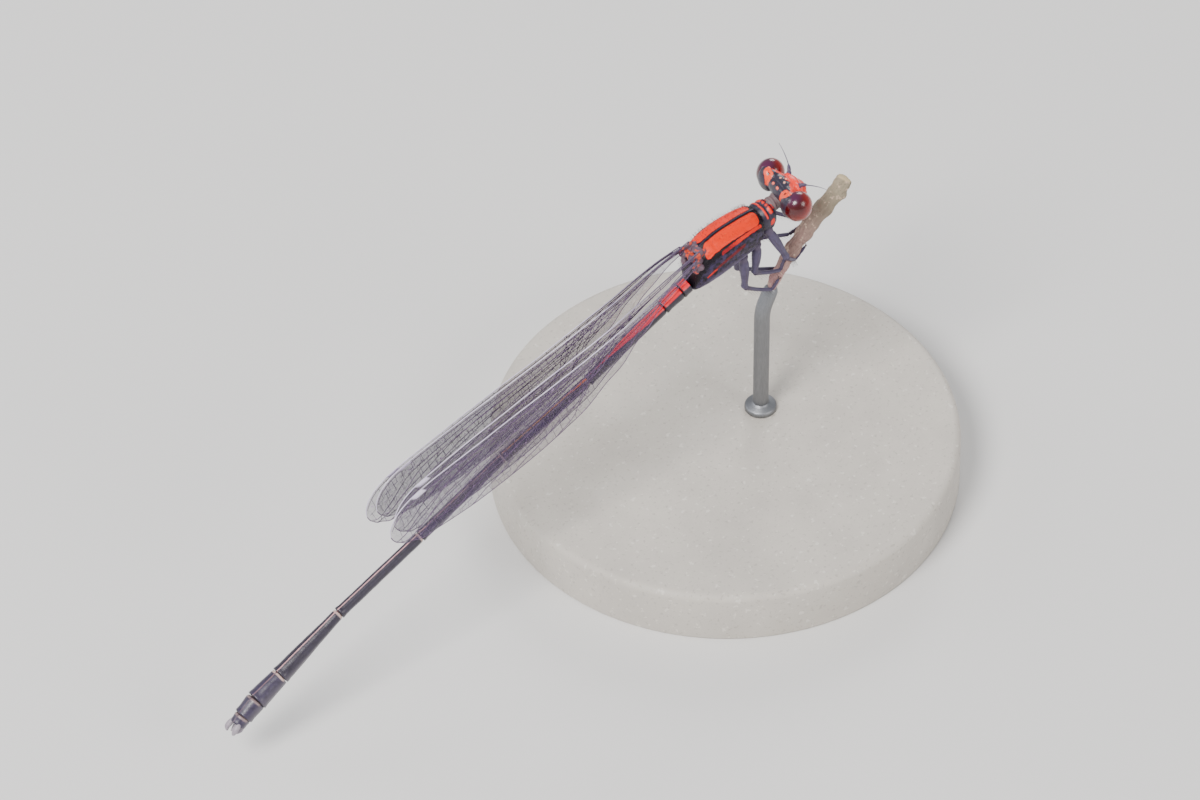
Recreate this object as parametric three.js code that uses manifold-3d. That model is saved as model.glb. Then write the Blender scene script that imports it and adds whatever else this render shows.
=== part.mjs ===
// A male threadtail damselfly, life size, gripping a short cut length of leaf stalk on a display stand.
// Millimetres, +Z up, the head towards +X. The origin is the centre of the stand base's underside.
import * as THREE from "three";
import { mergeVertices } from "three/addons/utils/BufferGeometryUtils.js";
import Module from "manifold-3d";

const wasm = await Module();
wasm.setup();

// Driving sizes
const BODY_HEIGHT = 16;
const SEAM = 0.2;
const HEAD_TURN = THREE.MathUtils.degToRad(-11);
const HEAD_PLACE = [3.62, -0.03, 1.62];
const EYE_SPACING = 2.76;
const EYE_RADII = [0.74, 0.68, 0.82];
const LEG_RADIUS = 0.25;
const WING_PITCH = THREE.MathUtils.degToRad(16.6);
const MEMBRANE_THICKNESS = 0.46;
const VEIN_HEIGHT = 0.07;
const STALK_RADIUS = 0.41;
const BASE_RADIUS = 12;
const BASE_HEIGHT = 3;
const ROD_RADIUS = 0.4;

// Places below are measured from the middle of the thorax, BODY_HEIGHT above the floor.
const UP = new THREE.Vector3(0, 0, 1);
const LEFT = new THREE.Vector3(0, 1, 0);

const vec = (x, y, z) => new THREE.Vector3(x, y, z);
const smooth = (t) => t * t * (3 - 2 * t);

// A value read from rising [place, value] pairs, eased between them.
function between(pairs, place) {
  const last = pairs.length - 1;
  if (place <= pairs[0][0]) return pairs[0][1];
  if (place >= pairs[last][0]) return pairs[last][1];
  const next = pairs.findIndex(([p]) => p > place);
  const [p0, v0] = pairs[next - 1];
  const [p1, v1] = pairs[next];
  return THREE.MathUtils.lerp(v0, v1, smooth((place - p0) / (p1 - p0)));
}

// A closed skin over rings of points that turn anticlockwise about the way the rings run.
function loft(rings) {
  const count = rings[0].length;
  const points = rings.flat();
  const index = [];
  for (let ring = 0; ring + 1 < rings.length; ring += 1) {
    for (let i = 0; i < count; i += 1) {
      const a = ring * count + i;
      const b = ring * count + ((i + 1) % count);
      index.push(a, b, a + count, b, b + count, a + count);
    }
  }
  const cap = (ring, facesBack) => {
    const middle = rings[ring].reduce((sum, p) => sum.add(p), vec(0, 0, 0));
    const centre = points.push(middle.divideScalar(count)) - 1;
    for (let i = 0; i < count; i += 1) {
      const a = ring * count + i;
      const b = ring * count + ((i + 1) % count);
      index.push(...(facesBack ? [centre, b, a] : [centre, a, b]));
    }
  };
  cap(0, true);
  cap(rings.length - 1, false);
  return new THREE.BufferGeometry().setFromPoints(points).setIndex(index);
}

// One ring: a rounded section whose top and bottom halves may differ in height.
function section({ centre, across, up, width, top, bottom, squareness = 2, sides = 20 }) {
  const power = 2 / squareness;
  return Array.from({ length: sides }, (_, i) => {
    const angle = (i / sides) * 2 * Math.PI;
    const c = Math.cos(angle);
    const s = Math.sin(angle);
    const y = Math.sign(c) * Math.abs(c) ** power * width;
    const z = Math.sign(s) * Math.abs(s) ** power * (s > 0 ? top : bottom);
    return centre.clone().addScaledVector(across, y).addScaledVector(up, z);
  });
}

// A round limb along a path, with one radius for each point of the path.
function limb(path, radii, sides = 6) {
  const rings = path.map((point, i) => {
    const before = path[Math.max(i - 1, 0)];
    const after = path[Math.min(i + 1, path.length - 1)];
    const along = after.clone().sub(before).normalize();
    const across = along.clone().cross(Math.abs(along.y) > 0.9 ? UP : LEFT).normalize();
    const up = along.clone().cross(across);
    const radius = radii[i];
    return section({ centre: point, across, up, width: radius, top: radius, bottom: radius, sides });
  });
  return loft(rings);
}

function ellipsoid([x, y, z], [rx, ry, rz], around = 11, down = 7) {
  const ball = new THREE.SphereGeometry(1, around, down);
  return ball.rotateX(Math.PI / 2).scale(rx, ry, rz).translate(x, y, z);
}

// A geometry as a solid that can be joined and cut.
function solid(geometry) {
  const bare = geometry.clone();
  bare.deleteAttribute("normal");
  bare.deleteAttribute("uv");
  const merged = mergeVertices(bare, 1e-4);
  const vertProperties = new Float32Array(merged.getAttribute("position").array);
  const triVerts = new Uint32Array(merged.index.array);
  return new wasm.Manifold(new wasm.Mesh({ numProp: 3, vertProperties, triVerts }));
}

const joined = (geometries) => geometries.map(solid).reduce((sum, piece) => sum.add(piece));

// The largest closed surface of a solid, as a geometry.
function largest(whole) {
  const pieces = whole.decompose().sort((a, b) => b.volume() - a.volume());
  const mesh = pieces[0].getMesh();
  const geometry = new THREE.BufferGeometry();
  const positions = new Float32Array(mesh.vertProperties);
  geometry.setAttribute("position", new THREE.BufferAttribute(positions, 3));
  return geometry.setIndex([...mesh.triVerts]);
}

const paint = (color, roughness, metalness = 0) =>
  new THREE.MeshStandardMaterial({ color, roughness, metalness });
const PAINTS = {
  head: paint(0xfa5a4b, 0.45),
  eye: paint(0x8c1610, 0.15),
  dark: paint(0x3c324b, 0.5),
  neck: paint(0x6b5560, 0.6),
  thorax: paint(0xf54b28, 0.4),
  crimson: paint(0xe11932, 0.4),
  abdomen: paint(0x2c2536, 0.4),
  wing: paint(0x3a3048, 0.3),
  stalk: paint(0x8e7468, 0.85),
  base: paint(0xd8d4cc, 0.8),
  rod: paint(0xb8bcc0, 0.35, 1),
};

const insect = new THREE.Group();
insect.position.z = BODY_HEIGHT;
const model = new THREE.Group();
model.add(insect);

function addNode(parent, name, geometry, material) {
  const shaded = geometry.toNonIndexed();
  shaded.computeVertexNormals();
  const mesh = new THREE.Mesh(shaded, material);
  mesh.name = name;
  parent.add(mesh);
}

// Thorax behind the neck: a skewed box with round shoulders, its back nearly level and its belly
// dropping to the rear. Each row is [x, half width, top, bottom].
const THORAX_ROWS = [
  [-2.6, 0.46, -0.42, -1.36],
  [-2.46, 0.66, 0.2, -1.42],
  [-2.16, 0.82, 0.8, -1.42],
  [-1.75, 0.94, 1.14, -1.36],
  [-1.1, 1.03, 1.36, -1.24],
  [-0.3, 1.06, 1.46, -1.06],
  [0.5, 1.02, 1.5, -0.92],
  [1.15, 0.95, 1.49, -0.8],
  [1.6, 0.85, 1.43, -0.6],
  [1.88, 0.68, 1.3, -0.2],
];
function thorax(grow = 0) {
  const first = THORAX_ROWS[0][0];
  const last = THORAX_ROWS[THORAX_ROWS.length - 1][0];
  const rings = THORAX_ROWS.map(([x, width, top, bottom]) => {
    const middle = (top + bottom) / 2;
    const reach = x === first ? -grow : x === last ? grow : 0;
    const ring = section({
      centre: vec(x + reach, 0, middle),
      across: LEFT,
      up: UP,
      width: width + grow,
      top: top - middle + grow,
      bottom: middle - bottom + grow,
      squareness: 2.5,
      sides: 28,
    });
    return ring.map((p) => {
      const height = (p.z - middle) / (top - middle);
      const keel = 0.07 * Math.exp(-((p.y / 0.14) ** 2)) * Math.max(height, 0);
      return vec(p.x, p.y * (1 + 0.1 * height), p.z + keel);
    });
  });
  return solid(loft(rings));
}

// First ring of the chest, a small saddle with two swellings and a raised hind margin.
const SADDLE_ROWS = [
  [1.7, 0.6, 1.2, 0.0],
  [2.02, 0.76, 1.42, -0.05],
  [2.14, 0.77, 1.41, -0.08],
  [2.22, 0.74, 1.33, -0.1],
  [2.42, 0.78, 1.42, -0.1],
  [2.56, 0.7, 1.36, 0.0],
  [2.66, 0.66, 1.38, 0.15],
  [2.74, 0.52, 1.26, 0.45],
];
function saddle(grow = 0) {
  const last = SADDLE_ROWS[SADDLE_ROWS.length - 1][0];
  const rings = SADDLE_ROWS.map(([x, width, top, bottom]) => {
    const middle = (top + bottom) / 2;
    return section({
      centre: vec(x === last ? x + grow : x, 0, middle),
      across: LEFT,
      up: UP,
      width: width + grow,
      top: top - middle + grow,
      bottom: middle - bottom + grow,
      squareness: 2.2,
      sides: 20,
    });
  });
  return solid(loft(rings));
}

// Head in its own frame, seen from the midpoint between the eyes: x ahead, y left, z up.
const headMatrix = new THREE.Matrix4().makeRotationZ(HEAD_TURN).setPosition(...HEAD_PLACE);
const inHead = (geometry) => geometry.applyMatrix4(headMatrix);
const pointInHead = (x, y, z) => vec(x, y, z).applyMatrix4(headMatrix);

function eye(side, grow = 0) {
  const radii = EYE_RADII.map((r) => r + grow);
  return inHead(ellipsoid([0.05, (side * EYE_SPACING) / 2, 0], radii, 20, 13));
}

function headShell(grow = 0) {
  const lobe = (centre, radii, around, down) =>
    inHead(ellipsoid(centre, radii.map((r) => r + grow), around, down));
  const crown = lobe([-0.04, 0, 0.12], [0.58, 1.35, 0.58], 14, 10);
  const brow = lobe([0.42, 0, 0.12], [0.5, 0.84, 0.42]);
  const clypeus = lobe([0.76, 0, -0.18], [0.46, 0.62, 0.33]);
  const lip = lobe([0.88, 0, -0.56], [0.4, 0.52, 0.32]);
  const jaws = lobe([0.38, 0, -0.62], [0.6, 0.78, 0.44]);
  const chin = lobe([0.22, 0, -0.98], [0.52, 0.44, 0.26]);
  const collars = [1, -1].map((side) => lobe([-0.24, side * 1.14, -0.02], [0.5, 0.62, 0.76]));
  const simpleEyes = [[0.14, 0], [-0.04, 0.19], [-0.04, -0.19]].map(([x, y]) =>
    lobe([x, y, 0.68], [0.1, 0.1, 0.09], 6, 4),
  );
  return joined([crown, brow, clypeus, lip, jaws, chin, ...collars, ...simpleEyes]);
}

function buildHead() {
  const eyes = [eye(1, SEAM / 2), eye(-1, SEAM / 2)].map(solid);
  const shell = eyes.reduce((rest, socket) => rest.subtract(socket), headShell());
  addNode(insect, "head", largest(shell), PAINTS.head);
  addNode(insect, "eye_left", eye(1), PAINTS.eye);
  addNode(insect, "eye_right", eye(-1), PAINTS.eye);

  const neck = solid(ellipsoid([2.95, -0.01, 1.22], [0.55, 0.4, 0.36]));
  const cutNeck = neck.subtract(headShell(SEAM)).subtract(saddle(SEAM));
  addNode(insect, "neck", largest(cutNeck), PAINTS.neck);

  // Feelers: a thick root joint, then a tapering bristle, each held as in the photograph.
  const feelers = {
    antenna_left: [[0.6, 0.5, 0.35], [0.72, 0.75, 0.62], [0.78, 1.2, 1.02], [0.72, 1.75, 1.45]],
    antenna_right: [[0.6, -0.5, 0.35], [0.92, -0.68, 0.45], [1.35, -0.95, 0.4], [1.78, -1.25, 0.22]],
  };
  const radii = [0.27, 0.25, 0.17, 0.08];
  for (const [name, places] of Object.entries(feelers)) {
    const path = places.map((place) => pointInHead(...place));
    const feeler = solid(limb(path, radii)).subtract(headShell(SEAM));
    const clear = [eye(1, SEAM), eye(-1, SEAM)].map(solid).reduce((rest, s) => rest.subtract(s), feeler);
    addNode(insect, name, largest(clear), PAINTS.dark);
  }
}

function buildThorax() {
  addNode(insect, "thorax", largest(thorax()), PAINTS.thorax);
  addNode(insect, "prothorax", largest(saddle().subtract(thorax(SEAM))), PAINTS.thorax);
}

// Abdomen: ten rings of the body that droop to the rear, each [length, droop in degrees, half width
// at its front, half width at its rear]. Rings 8 to 10 are the thick end.
const ABDOMEN_START = vec(-2.62, 0, -1.02);
const ABDOMEN_RINGS = [
  [0.62, 20, 0.44, 0.42],
  [1.2, 24, 0.42, 0.36],
  [5.3, 22.5, 0.33, 0.29],
  [5.8, 18.5, 0.28, 0.29],
  [5.75, 21.5, 0.28, 0.29],
  [5.6, 21, 0.28, 0.3],
  [4.25, 27, 0.3, 0.46],
  [1.7, 26, 0.47, 0.54],
  [1.02, 34, 0.53, 0.47],
  [0.5, 40, 0.45, 0.38],
];
const RING_LIP = 0.04;

function buildAbdomen() {
  const cursor = ABDOMEN_START.clone();
  ABDOMEN_RINGS.forEach(([length, droop, frontWidth, rearWidth], i) => {
    const angle = THREE.MathUtils.degToRad(droop);
    const along = vec(Math.cos(angle), 0, Math.sin(angle));
    const up = vec(-Math.sin(angle), 0, Math.cos(angle));
    const steps = length > 2 ? 6 : 3;
    const rings = [];
    for (let step = 0; step <= steps; step += 1) {
      // Steps run from the rear of the ring to its front, and the skin flares into a lip at the rear.
      const share = step / steps;
      const back = THREE.MathUtils.lerp(length - SEAM / 2, SEAM / 2, share);
      const width = THREE.MathUtils.lerp(rearWidth, frontWidth, smooth(share));
      const half = width + (step === 0 ? -0.02 : 0) + (step === 1 && length > 2 ? RING_LIP / 2 : 0);
      const centre = cursor.clone().addScaledVector(along, -back);
      rings.push(section({ centre, across: LEFT, up, width: half, top: half, bottom: half * 1.06, sides: 14 }));
    }
    let ring = solid(loft(rings));
    if (i === 0) ring = ring.subtract(thorax(SEAM));
    if (i === ABDOMEN_RINGS.length - 1) ring = claspers(ring, cursor, along, up, length);
    addNode(insect, `abdomen_${i + 1}`, largest(ring), i < 3 ? PAINTS.crimson : PAINTS.abdomen);
    cursor.addScaledVector(along, -length);
  });
}

// The two upper and two lower claspers on the last ring, their roots sunk in it.
function claspers(ring, start, along, up, length) {
  const place = (back, side, rise) =>
    start.clone().addScaledVector(along, -back).addScaledVector(LEFT, side).addScaledVector(up, rise);
  let whole = ring;
  for (const side of [1, -1]) {
    const upper = [place(0.2, side * 0.2, 0.16), place(length + 0.15, side * 0.27, 0.2),
      place(length + 0.5, side * 0.26, 0.1)];
    const lower = [place(0.2, side * 0.16, -0.16), place(length + 0.12, side * 0.2, -0.2),
      place(length + 0.4, side * 0.16, -0.14)];
    whole = whole.add(solid(limb(upper, [0.14, 0.19, 0.08]))).add(solid(limb(lower, [0.13, 0.15, 0.06])));
  }
  return whole;
}

// Perch: a crooked, bitten-off leaf stalk, from its broken lower tip up to the cut.
const STALK_PATH = [
  [2.96, -4.87],
  [3.3, -4.22],
  [3.87, -3.46],
  [4.85, -2.5],
  [5.63, -1.76],
  [6.65, -1.1],
  [7.35, -0.64],
  [7.76, -0.04],
].map(([x, z]) => vec(x, 0, z));
const stalkCurve = new THREE.CatmullRomCurve3(STALK_PATH);
const stalkLength = stalkCurve.getLength();
const stalkRadius = (share) => {
  const body = between([[0, 0.26], [0.12, 0.3], [0.45, 0.42], [0.75, 0.46], [1, 0.4]], share);
  return body * (STALK_RADIUS / 0.42);
};

function stalk(grow = 0) {
  const steps = 26;
  const sides = 12;
  const rings = [];
  for (let i = 0; i <= steps; i += 1) {
    const share = i / steps;
    const along = stalkCurve.getTangentAt(share);
    const across = LEFT.clone();
    const up = along.clone().cross(across).normalize();
    const ring = section({
      centre: stalkCurve.getPointAt(share),
      across: up.clone().negate(),
      up: across,
      width: stalkRadius(share) + grow,
      top: stalkRadius(share) + grow,
      bottom: stalkRadius(share) + grow,
      sides,
    });
    // Knots and lengthwise ribs, from a few waves.
    const centre = stalkCurve.getPointAt(share);
    rings.push(ring.map((p, k) => {
      const turn = (k / sides) * 2 * Math.PI;
      const knot = 0.045 * Math.sin(share * 41 + 0.6) * Math.sin(turn * 2 + share * 9);
      const rib = 0.03 * Math.cos(turn * 3 + share * 4);
      return p.lerp(centre, -(knot + rib) / stalkRadius(share));
    }));
  }
  return loft(rings);
}

// A place beside the stalk: along it in millimetres from its tip, turned about it from its upper
// side towards the insect's right, and lifted off its surface.
function besideStalk(along, turn, lift) {
  const share = along / stalkLength;
  const tangent = stalkCurve.getTangentAt(share);
  const above = vec(-tangent.z, 0, tangent.x);
  const angle = THREE.MathUtils.degToRad(turn);
  const reach = stalkRadius(share) + lift;
  return stalkCurve.getPointAt(share)
    .addScaledVector(above, Math.cos(angle) * reach)
    .addScaledVector(LEFT, -Math.sin(angle) * reach);
}

// Legs: hip on the body, knee, ankle by the stalk and the foot along it.
const FOOT_LIFT = LEG_RADIUS + 0.14;
const LEGS = {
  leg_front_right: { hip: [2.1, -0.35, 0.3], knee: [3.1, -0.98, -2.1], ankle: [1.9, 170], foot: [2.8, 150] },
  leg_middle_right: { hip: [1.45, -0.4, -0.3], knee: [1.3, -0.55, -2.35], ankle: [1.25, 38], foot: [1.95, 20] },
  leg_hind_right: { hip: [0.55, -0.4, -0.6], knee: [0.72, -0.5, -3.05], ankle: [0.15, 42], foot: [0.75, 60] },
  leg_front_left: { hip: [2.1, 0.35, 0.3], knee: [3.9, 1.15, -0.95], ankle: [3.75, -62], foot: [4.5, -35] },
  leg_middle_left: { hip: [1.45, 0.4, -0.3], knee: [3.1, 0.9, -2.05], ankle: [2.85, -75], foot: [3.5, -110] },
  leg_hind_left: { hip: [0.55, 0.4, -0.6], knee: [1.6, 1.0, -3.4], ankle: [0.95, -128], foot: [1.45, -178] },
};

function buildLegs() {
  for (const [name, { hip, knee, ankle, foot }] of Object.entries(LEGS)) {
    const hipPoint = vec(...hip);
    const kneePoint = vec(...knee);
    const anklePoint = besideStalk(ankle[0], ankle[1], FOOT_LIFT);
    const footPoint = besideStalk(foot[0], foot[1], FOOT_LIFT - 0.08);
    const trochanter = hipPoint.clone().lerp(kneePoint, 0.24).add(vec(0, Math.sign(hip[1]) * 0.12, 0));
    const thighMiddle = trochanter.clone().lerp(kneePoint, 0.5);
    const shinMiddle = kneePoint.clone().lerp(anklePoint, 0.5);
    const toe = footPoint.clone().addScaledVector(footPoint.clone().sub(anklePoint).normalize(), 0.18);
    const R = LEG_RADIUS;
    const pieces = [
      limb([hipPoint, trochanter], [R * 1.5, R * 1.15]),
      ellipsoid(trochanter.toArray(), [R * 1.15, R * 1.15, R * 1.15], 6, 4),
      limb([trochanter, thighMiddle, kneePoint], [R * 1.05, R * 1.12, R]),
      ellipsoid(kneePoint.toArray(), [R * 1.08, R * 1.08, R * 1.08], 6, 4),
      limb([kneePoint, shinMiddle, anklePoint], [R, R, R * 0.95]),
      ellipsoid(anklePoint.toArray(), [R, R, R], 6, 4),
      limb([anklePoint, footPoint, toe], [R * 0.95, R * 0.75, R * 0.35]),
    ];
    const onSaddle = name.startsWith("leg_front");
    const leg = joined(pieces).subtract(thorax(SEAM)).subtract(solid(stalk(SEAM / 2)));
    const clear = onSaddle ? leg.subtract(saddle(SEAM)) : leg;
    addNode(insect, name, largest(clear), PAINTS.dark);
  }
}

// Wings, closed over the body on edge: [share of length, distance from the wing's axis] of the
// leading edge above it and the trailing edge below it.
const LEADING_EDGE = [[0, 0.36], [0.08, 0.34], [0.35, 0.3], [0.6, 0.85], [0.86, 1.34], [0.95, 1.0], [1, 0.34]];
const TRAILING_EDGE = [[0, 0.36], [0.14, 0.62], [0.36, 2.6], [0.55, 3.05], [0.75, 2.75], [0.9, 1.95], [0.97, 1.3], [1, 0.4]];
const VEINS = [0.16, 0.44, 0.74];
const VEIN_FOOT = 0.035;
const WING_STATIONS = 16;

// Columns of the profile from the leading edge down: [share of the chord, height of vein].
const WING_COLUMNS = [
  [0, 1],
  [0.05, 0],
  ...VEINS.flatMap((v) => [[v - VEIN_FOOT, 0], [v, 1], [v + VEIN_FOOT, 0]]),
  [0.955, 0],
  [1, 0.4],
];

function wing(side, { root, length, spread }, grow = 0) {
  const axis = vec(-Math.cos(WING_PITCH), 0, -Math.sin(WING_PITCH));
  const rise = vec(-Math.sin(WING_PITCH), 0, Math.cos(WING_PITCH));
  const rings = [];
  for (let i = 0; i <= WING_STATIONS; i += 1) {
    // Stations gather at the round tip.
    const share = Math.sin((i / WING_STATIONS) * (Math.PI / 2)) ** 1.15;
    const lead = between(LEADING_EDGE, share) + grow;
    const trail = -between(TRAILING_EDGE, share) - grow;
    const out = between(spread, share);
    const ends = Math.min(1, i / 2, (WING_STATIONS - i) / 2);
    const face = (sign, columns) => columns.map(([chord, vein]) => {
      const half = MEMBRANE_THICKNESS / 2 + VEIN_HEIGHT * vein * ends + grow;
      return vec(...root)
        .addScaledVector(axis, share * length)
        .addScaledVector(rise, THREE.MathUtils.lerp(lead, trail, chord))
        .addScaledVector(LEFT, side * out - root[1] + sign * half);
    });
    rings.push([...face(1, WING_COLUMNS), ...face(-1, [...WING_COLUMNS].reverse())]);
  }
  return loft(rings);
}

const FOREWING = { root: [-1.45, 0, 1.3], length: 21.6, spread: [[0, 0.5], [0.2, 0.86], [1, 0.86]] };
const HINDWING = { root: [-2.3, 0, 0.9], length: 21.2, spread: [[0, 0.8], [0.09, 1.62], [1, 1.62]] };

function buildWings() {
  for (const [sideName, side] of [["left", 1], ["right", -1]]) {
    const fore = solid(wing(side, FOREWING)).subtract(thorax(SEAM));
    const hind = solid(wing(side, HINDWING)).subtract(thorax(SEAM));
    const hindClear = hind.subtract(solid(wing(side, FOREWING, SEAM)));
    addNode(insect, `forewing_${sideName}`, largest(fore), PAINTS.wing);
    addNode(insect, `hindwing_${sideName}`, largest(hindClear), PAINTS.wing);
  }
}

// Stand: a flat disc, and a rod that rises and bends to meet the stalk's broken tip end to end.
function buildStand() {
  const bevel = 0.4;
  const profile = [
    [0, 0],
    [BASE_RADIUS, 0],
    [BASE_RADIUS, BASE_HEIGHT - bevel],
    [BASE_RADIUS - bevel, BASE_HEIGHT],
    [0, BASE_HEIGHT],
  ].map(([r, z]) => new THREE.Vector2(r, z));
  const base = new THREE.LatheGeometry(profile, 48).rotateX(Math.PI / 2);
  addNode(model, "stand_base", base, PAINTS.base);

  const tip = stalkCurve.getPointAt(0);
  const slope = stalkCurve.getTangentAt(0);
  const end = tip.clone().addScaledVector(slope, -SEAM);
  const bend = tip.clone().addScaledVector(slope, -1.3);
  const foot = vec(bend.x, 0, BASE_HEIGHT + SEAM - BODY_HEIGHT);
  const path = new THREE.CurvePath();
  const drop = vec(bend.x, 0, bend.z - 0.7);
  path.add(new THREE.LineCurve3(foot, drop));
  path.add(new THREE.QuadraticBezierCurve3(drop, bend, tip.clone().addScaledVector(slope, -0.8)));
  path.add(new THREE.LineCurve3(tip.clone().addScaledVector(slope, -0.8), end));
  const points = [foot, drop, ...[0.25, 0.5, 0.75, 1].map((t) => path.curves[1].getPoint(t)), end];
  const rod = limb(points, points.map(() => ROD_RADIUS), 12);
  addNode(insect, "stand_rod", rod, PAINTS.rod);
}

buildHead();
buildThorax();
buildAbdomen();
addNode(insect, "perch_stalk", stalk(), PAINTS.stalk);
buildLegs();
buildWings();
buildStand();

export default model;
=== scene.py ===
# A male threadtail damselfly, life size, gripping a cut leaf stalk on a small disc stand.
# Shapes are made in millimetres from the middle of the thorax, and set in metres at the end.
import math
import random

import bmesh
import bpy
from mathutils import Matrix, Vector, noise


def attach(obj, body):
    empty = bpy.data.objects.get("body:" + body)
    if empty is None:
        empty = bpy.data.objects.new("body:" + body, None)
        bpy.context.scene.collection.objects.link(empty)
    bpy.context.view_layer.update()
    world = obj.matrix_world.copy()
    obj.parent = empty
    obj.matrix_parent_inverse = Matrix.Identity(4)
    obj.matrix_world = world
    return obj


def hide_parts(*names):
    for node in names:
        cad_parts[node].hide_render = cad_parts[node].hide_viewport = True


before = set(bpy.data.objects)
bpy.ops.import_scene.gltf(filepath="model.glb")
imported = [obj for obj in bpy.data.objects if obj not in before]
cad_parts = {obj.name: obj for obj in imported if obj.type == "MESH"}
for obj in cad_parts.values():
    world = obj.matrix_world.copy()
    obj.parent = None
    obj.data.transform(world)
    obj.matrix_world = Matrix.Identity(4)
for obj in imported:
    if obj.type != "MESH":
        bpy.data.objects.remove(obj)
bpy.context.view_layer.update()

BODY_HEIGHT = 16.0
MILLIMETRE = 0.001
TO_METRES = Matrix.Scale(MILLIMETRE, 4)
UP = Vector((0.0, 0.0, 1.0))
LEFT = Vector((0.0, 1.0, 0.0))
chance = random.Random(7)


# Small sums

def lerp(low, high, share):
    return low + (high - low) * share


def clamp(value, low=0.0, high=1.0):
    return max(low, min(high, value))


def ease(share):
    share = clamp(share)
    return share * share * (3 - 2 * share)


def bell(value, width):
    return math.exp(-((value / width) ** 2))


def signed_power(value, power):
    return math.copysign(abs(value) ** power, value)


# A table read along a smooth curve through its rows, whose first column rises.
def read(rows, place):
    last = len(rows) - 1
    if place <= rows[0][0]:
        return list(rows[0][1:])
    if place >= rows[last][0]:
        return list(rows[last][1:])
    k = next(i for i in range(last) if rows[i + 1][0] >= place)
    span = rows[k + 1][0] - rows[k][0]
    t = (place - rows[k][0]) / span
    before = rows[max(k - 1, 0)]
    after = rows[min(k + 2, last)]
    values = []
    for column in range(1, len(rows[0])):
        start, end = rows[k][column], rows[k + 1][column]
        leave = (end - before[column]) / (rows[k + 1][0] - before[0]) * span
        arrive = (after[column] - start) / (after[0] - rows[k][0]) * span
        values.append(
            start * (2 * t**3 - 3 * t**2 + 1)
            + leave * (t**3 - 2 * t**2 + t)
            + end * (3 * t**2 - 2 * t**3)
            + arrive * (t**3 - t**2)
        )
    return values


# A route through points, as rows of the distance along it and the place.
def route(points):
    rows = [[0.0, *points[0]]]
    for before, after in zip(points, points[1:]):
        rows.append([rows[-1][0] + (Vector(after) - Vector(before)).length, *after])
    return rows


def spot_on(path, distance):
    return Vector(read(path, distance))


def heading(path, distance):
    reach = path[-1][0]
    ahead = spot_on(path, min(distance + 0.02, reach))
    return (ahead - spot_on(path, max(distance - 0.02, 0.0))).normalized()


# How far a closed end has opened out: 0 at its pole, and 1 past the given reach.
def opened(near, reach):
    return math.sqrt(max(1 - (1 - min(near / reach, 1)) ** 2, 0))


# Mesh making

# One ring of a skin, from its top round by its left. Its two halves may differ in height.
def section(centre, across, up, width, top, bottom, squareness=2.0, sides=48):
    power = 2 / squareness
    points = []
    for i in range(sides):
        turn = i / sides * math.tau
        rise = signed_power(math.cos(turn), power)
        out = signed_power(math.sin(turn), power) * width
        points.append(centre + across * out + up * rise * (top if rise > 0 else bottom))
    return points


# A grid rolled up into a closed skin through rings of points. Each place keeps, in millimetres, how
# far it is round from the top line, on from the first ring and back from the last one.
def rolled(rings):
    sides, steps = len(rings[0]), len(rings) - 1
    shape = bmesh.new()
    bmesh.ops.create_grid(shape, x_segments=sides, y_segments=steps, size=0.5)
    girth = shape.verts.layers.float.new("girth")
    fore = shape.verts.layers.float.new("fore")
    aft = shape.verts.layers.float.new("aft")
    rounds = []
    for ring in rings:
        arcs = [0.0]
        for i in range(sides):
            arcs.append(arcs[-1] + (ring[(i + 1) % sides] - ring[i]).length)
        rounds.append([min(arc, arcs[-1] - arc) for arc in arcs])
    middles = [sum(ring, Vector()) / sides for ring in rings]
    on = [0.0]
    for before, after in zip(middles, middles[1:]):
        on.append(on[-1] + (after - before).length)
    for vert in shape.verts:
        i = round((vert.co.x + 0.5) * sides)
        j = round((vert.co.y + 0.5) * steps)
        vert[girth] = rounds[j][i]
        vert[fore] = on[j]
        vert[aft] = on[-1] - on[j]
        vert.co = rings[j][i % sides]
    bmesh.ops.remove_doubles(shape, verts=shape.verts, dist=1e-5)
    bmesh.ops.holes_fill(shape, edges=shape.edges, sides=0)
    bmesh.ops.recalc_face_normals(shape, faces=shape.faces)
    return shape


# Distances that gather at both ends of a rounded length.
def stations(length, steps):
    return [length * 0.5 * (1 - math.cos(math.pi * i / steps)) for i in range(steps + 1)]


# Rings of a round limb along a path, its ends rounded off, with a radius for each share of it.
def limb_rings(path, radii, steps, sides):
    reach = path[-1][0]
    whole = (spot_on(path, reach) - spot_on(path, 0.0)).normalized()
    beside = UP if abs(whole.z) < 0.7 else LEFT
    rings = []
    for distance in stations(reach, steps):
        radius = read(radii, distance / reach)[0]
        radius *= opened(min(distance, reach - distance), radius)
        along = heading(path, distance)
        across = along.cross(beside).normalized()
        up = along.cross(across)
        centre = spot_on(path, distance)
        rings.append(section(centre, across, up, radius, radius, radius, 2, sides))
    return rings


def ball(shape, place, radii, seat=Matrix(), around=24, down=16):
    matrix = seat @ Matrix.Translation(place) @ Matrix.Diagonal((*radii, 1))
    bmesh.ops.create_uvsphere(
        shape, u_segments=around, v_segments=down, radius=1.0, matrix=matrix
    )


def mesh_from(shape, name):
    mesh = bpy.data.meshes.new(name)
    shape.to_mesh(mesh)
    shape.free()
    return mesh


def evaluated_mesh(thing):
    bpy.context.collection.objects.link(thing)
    graph = bpy.context.evaluated_depsgraph_get()
    mesh = bpy.data.meshes.new_from_object(thing.evaluated_get(graph))
    bpy.data.objects.remove(thing)
    return mesh


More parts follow.
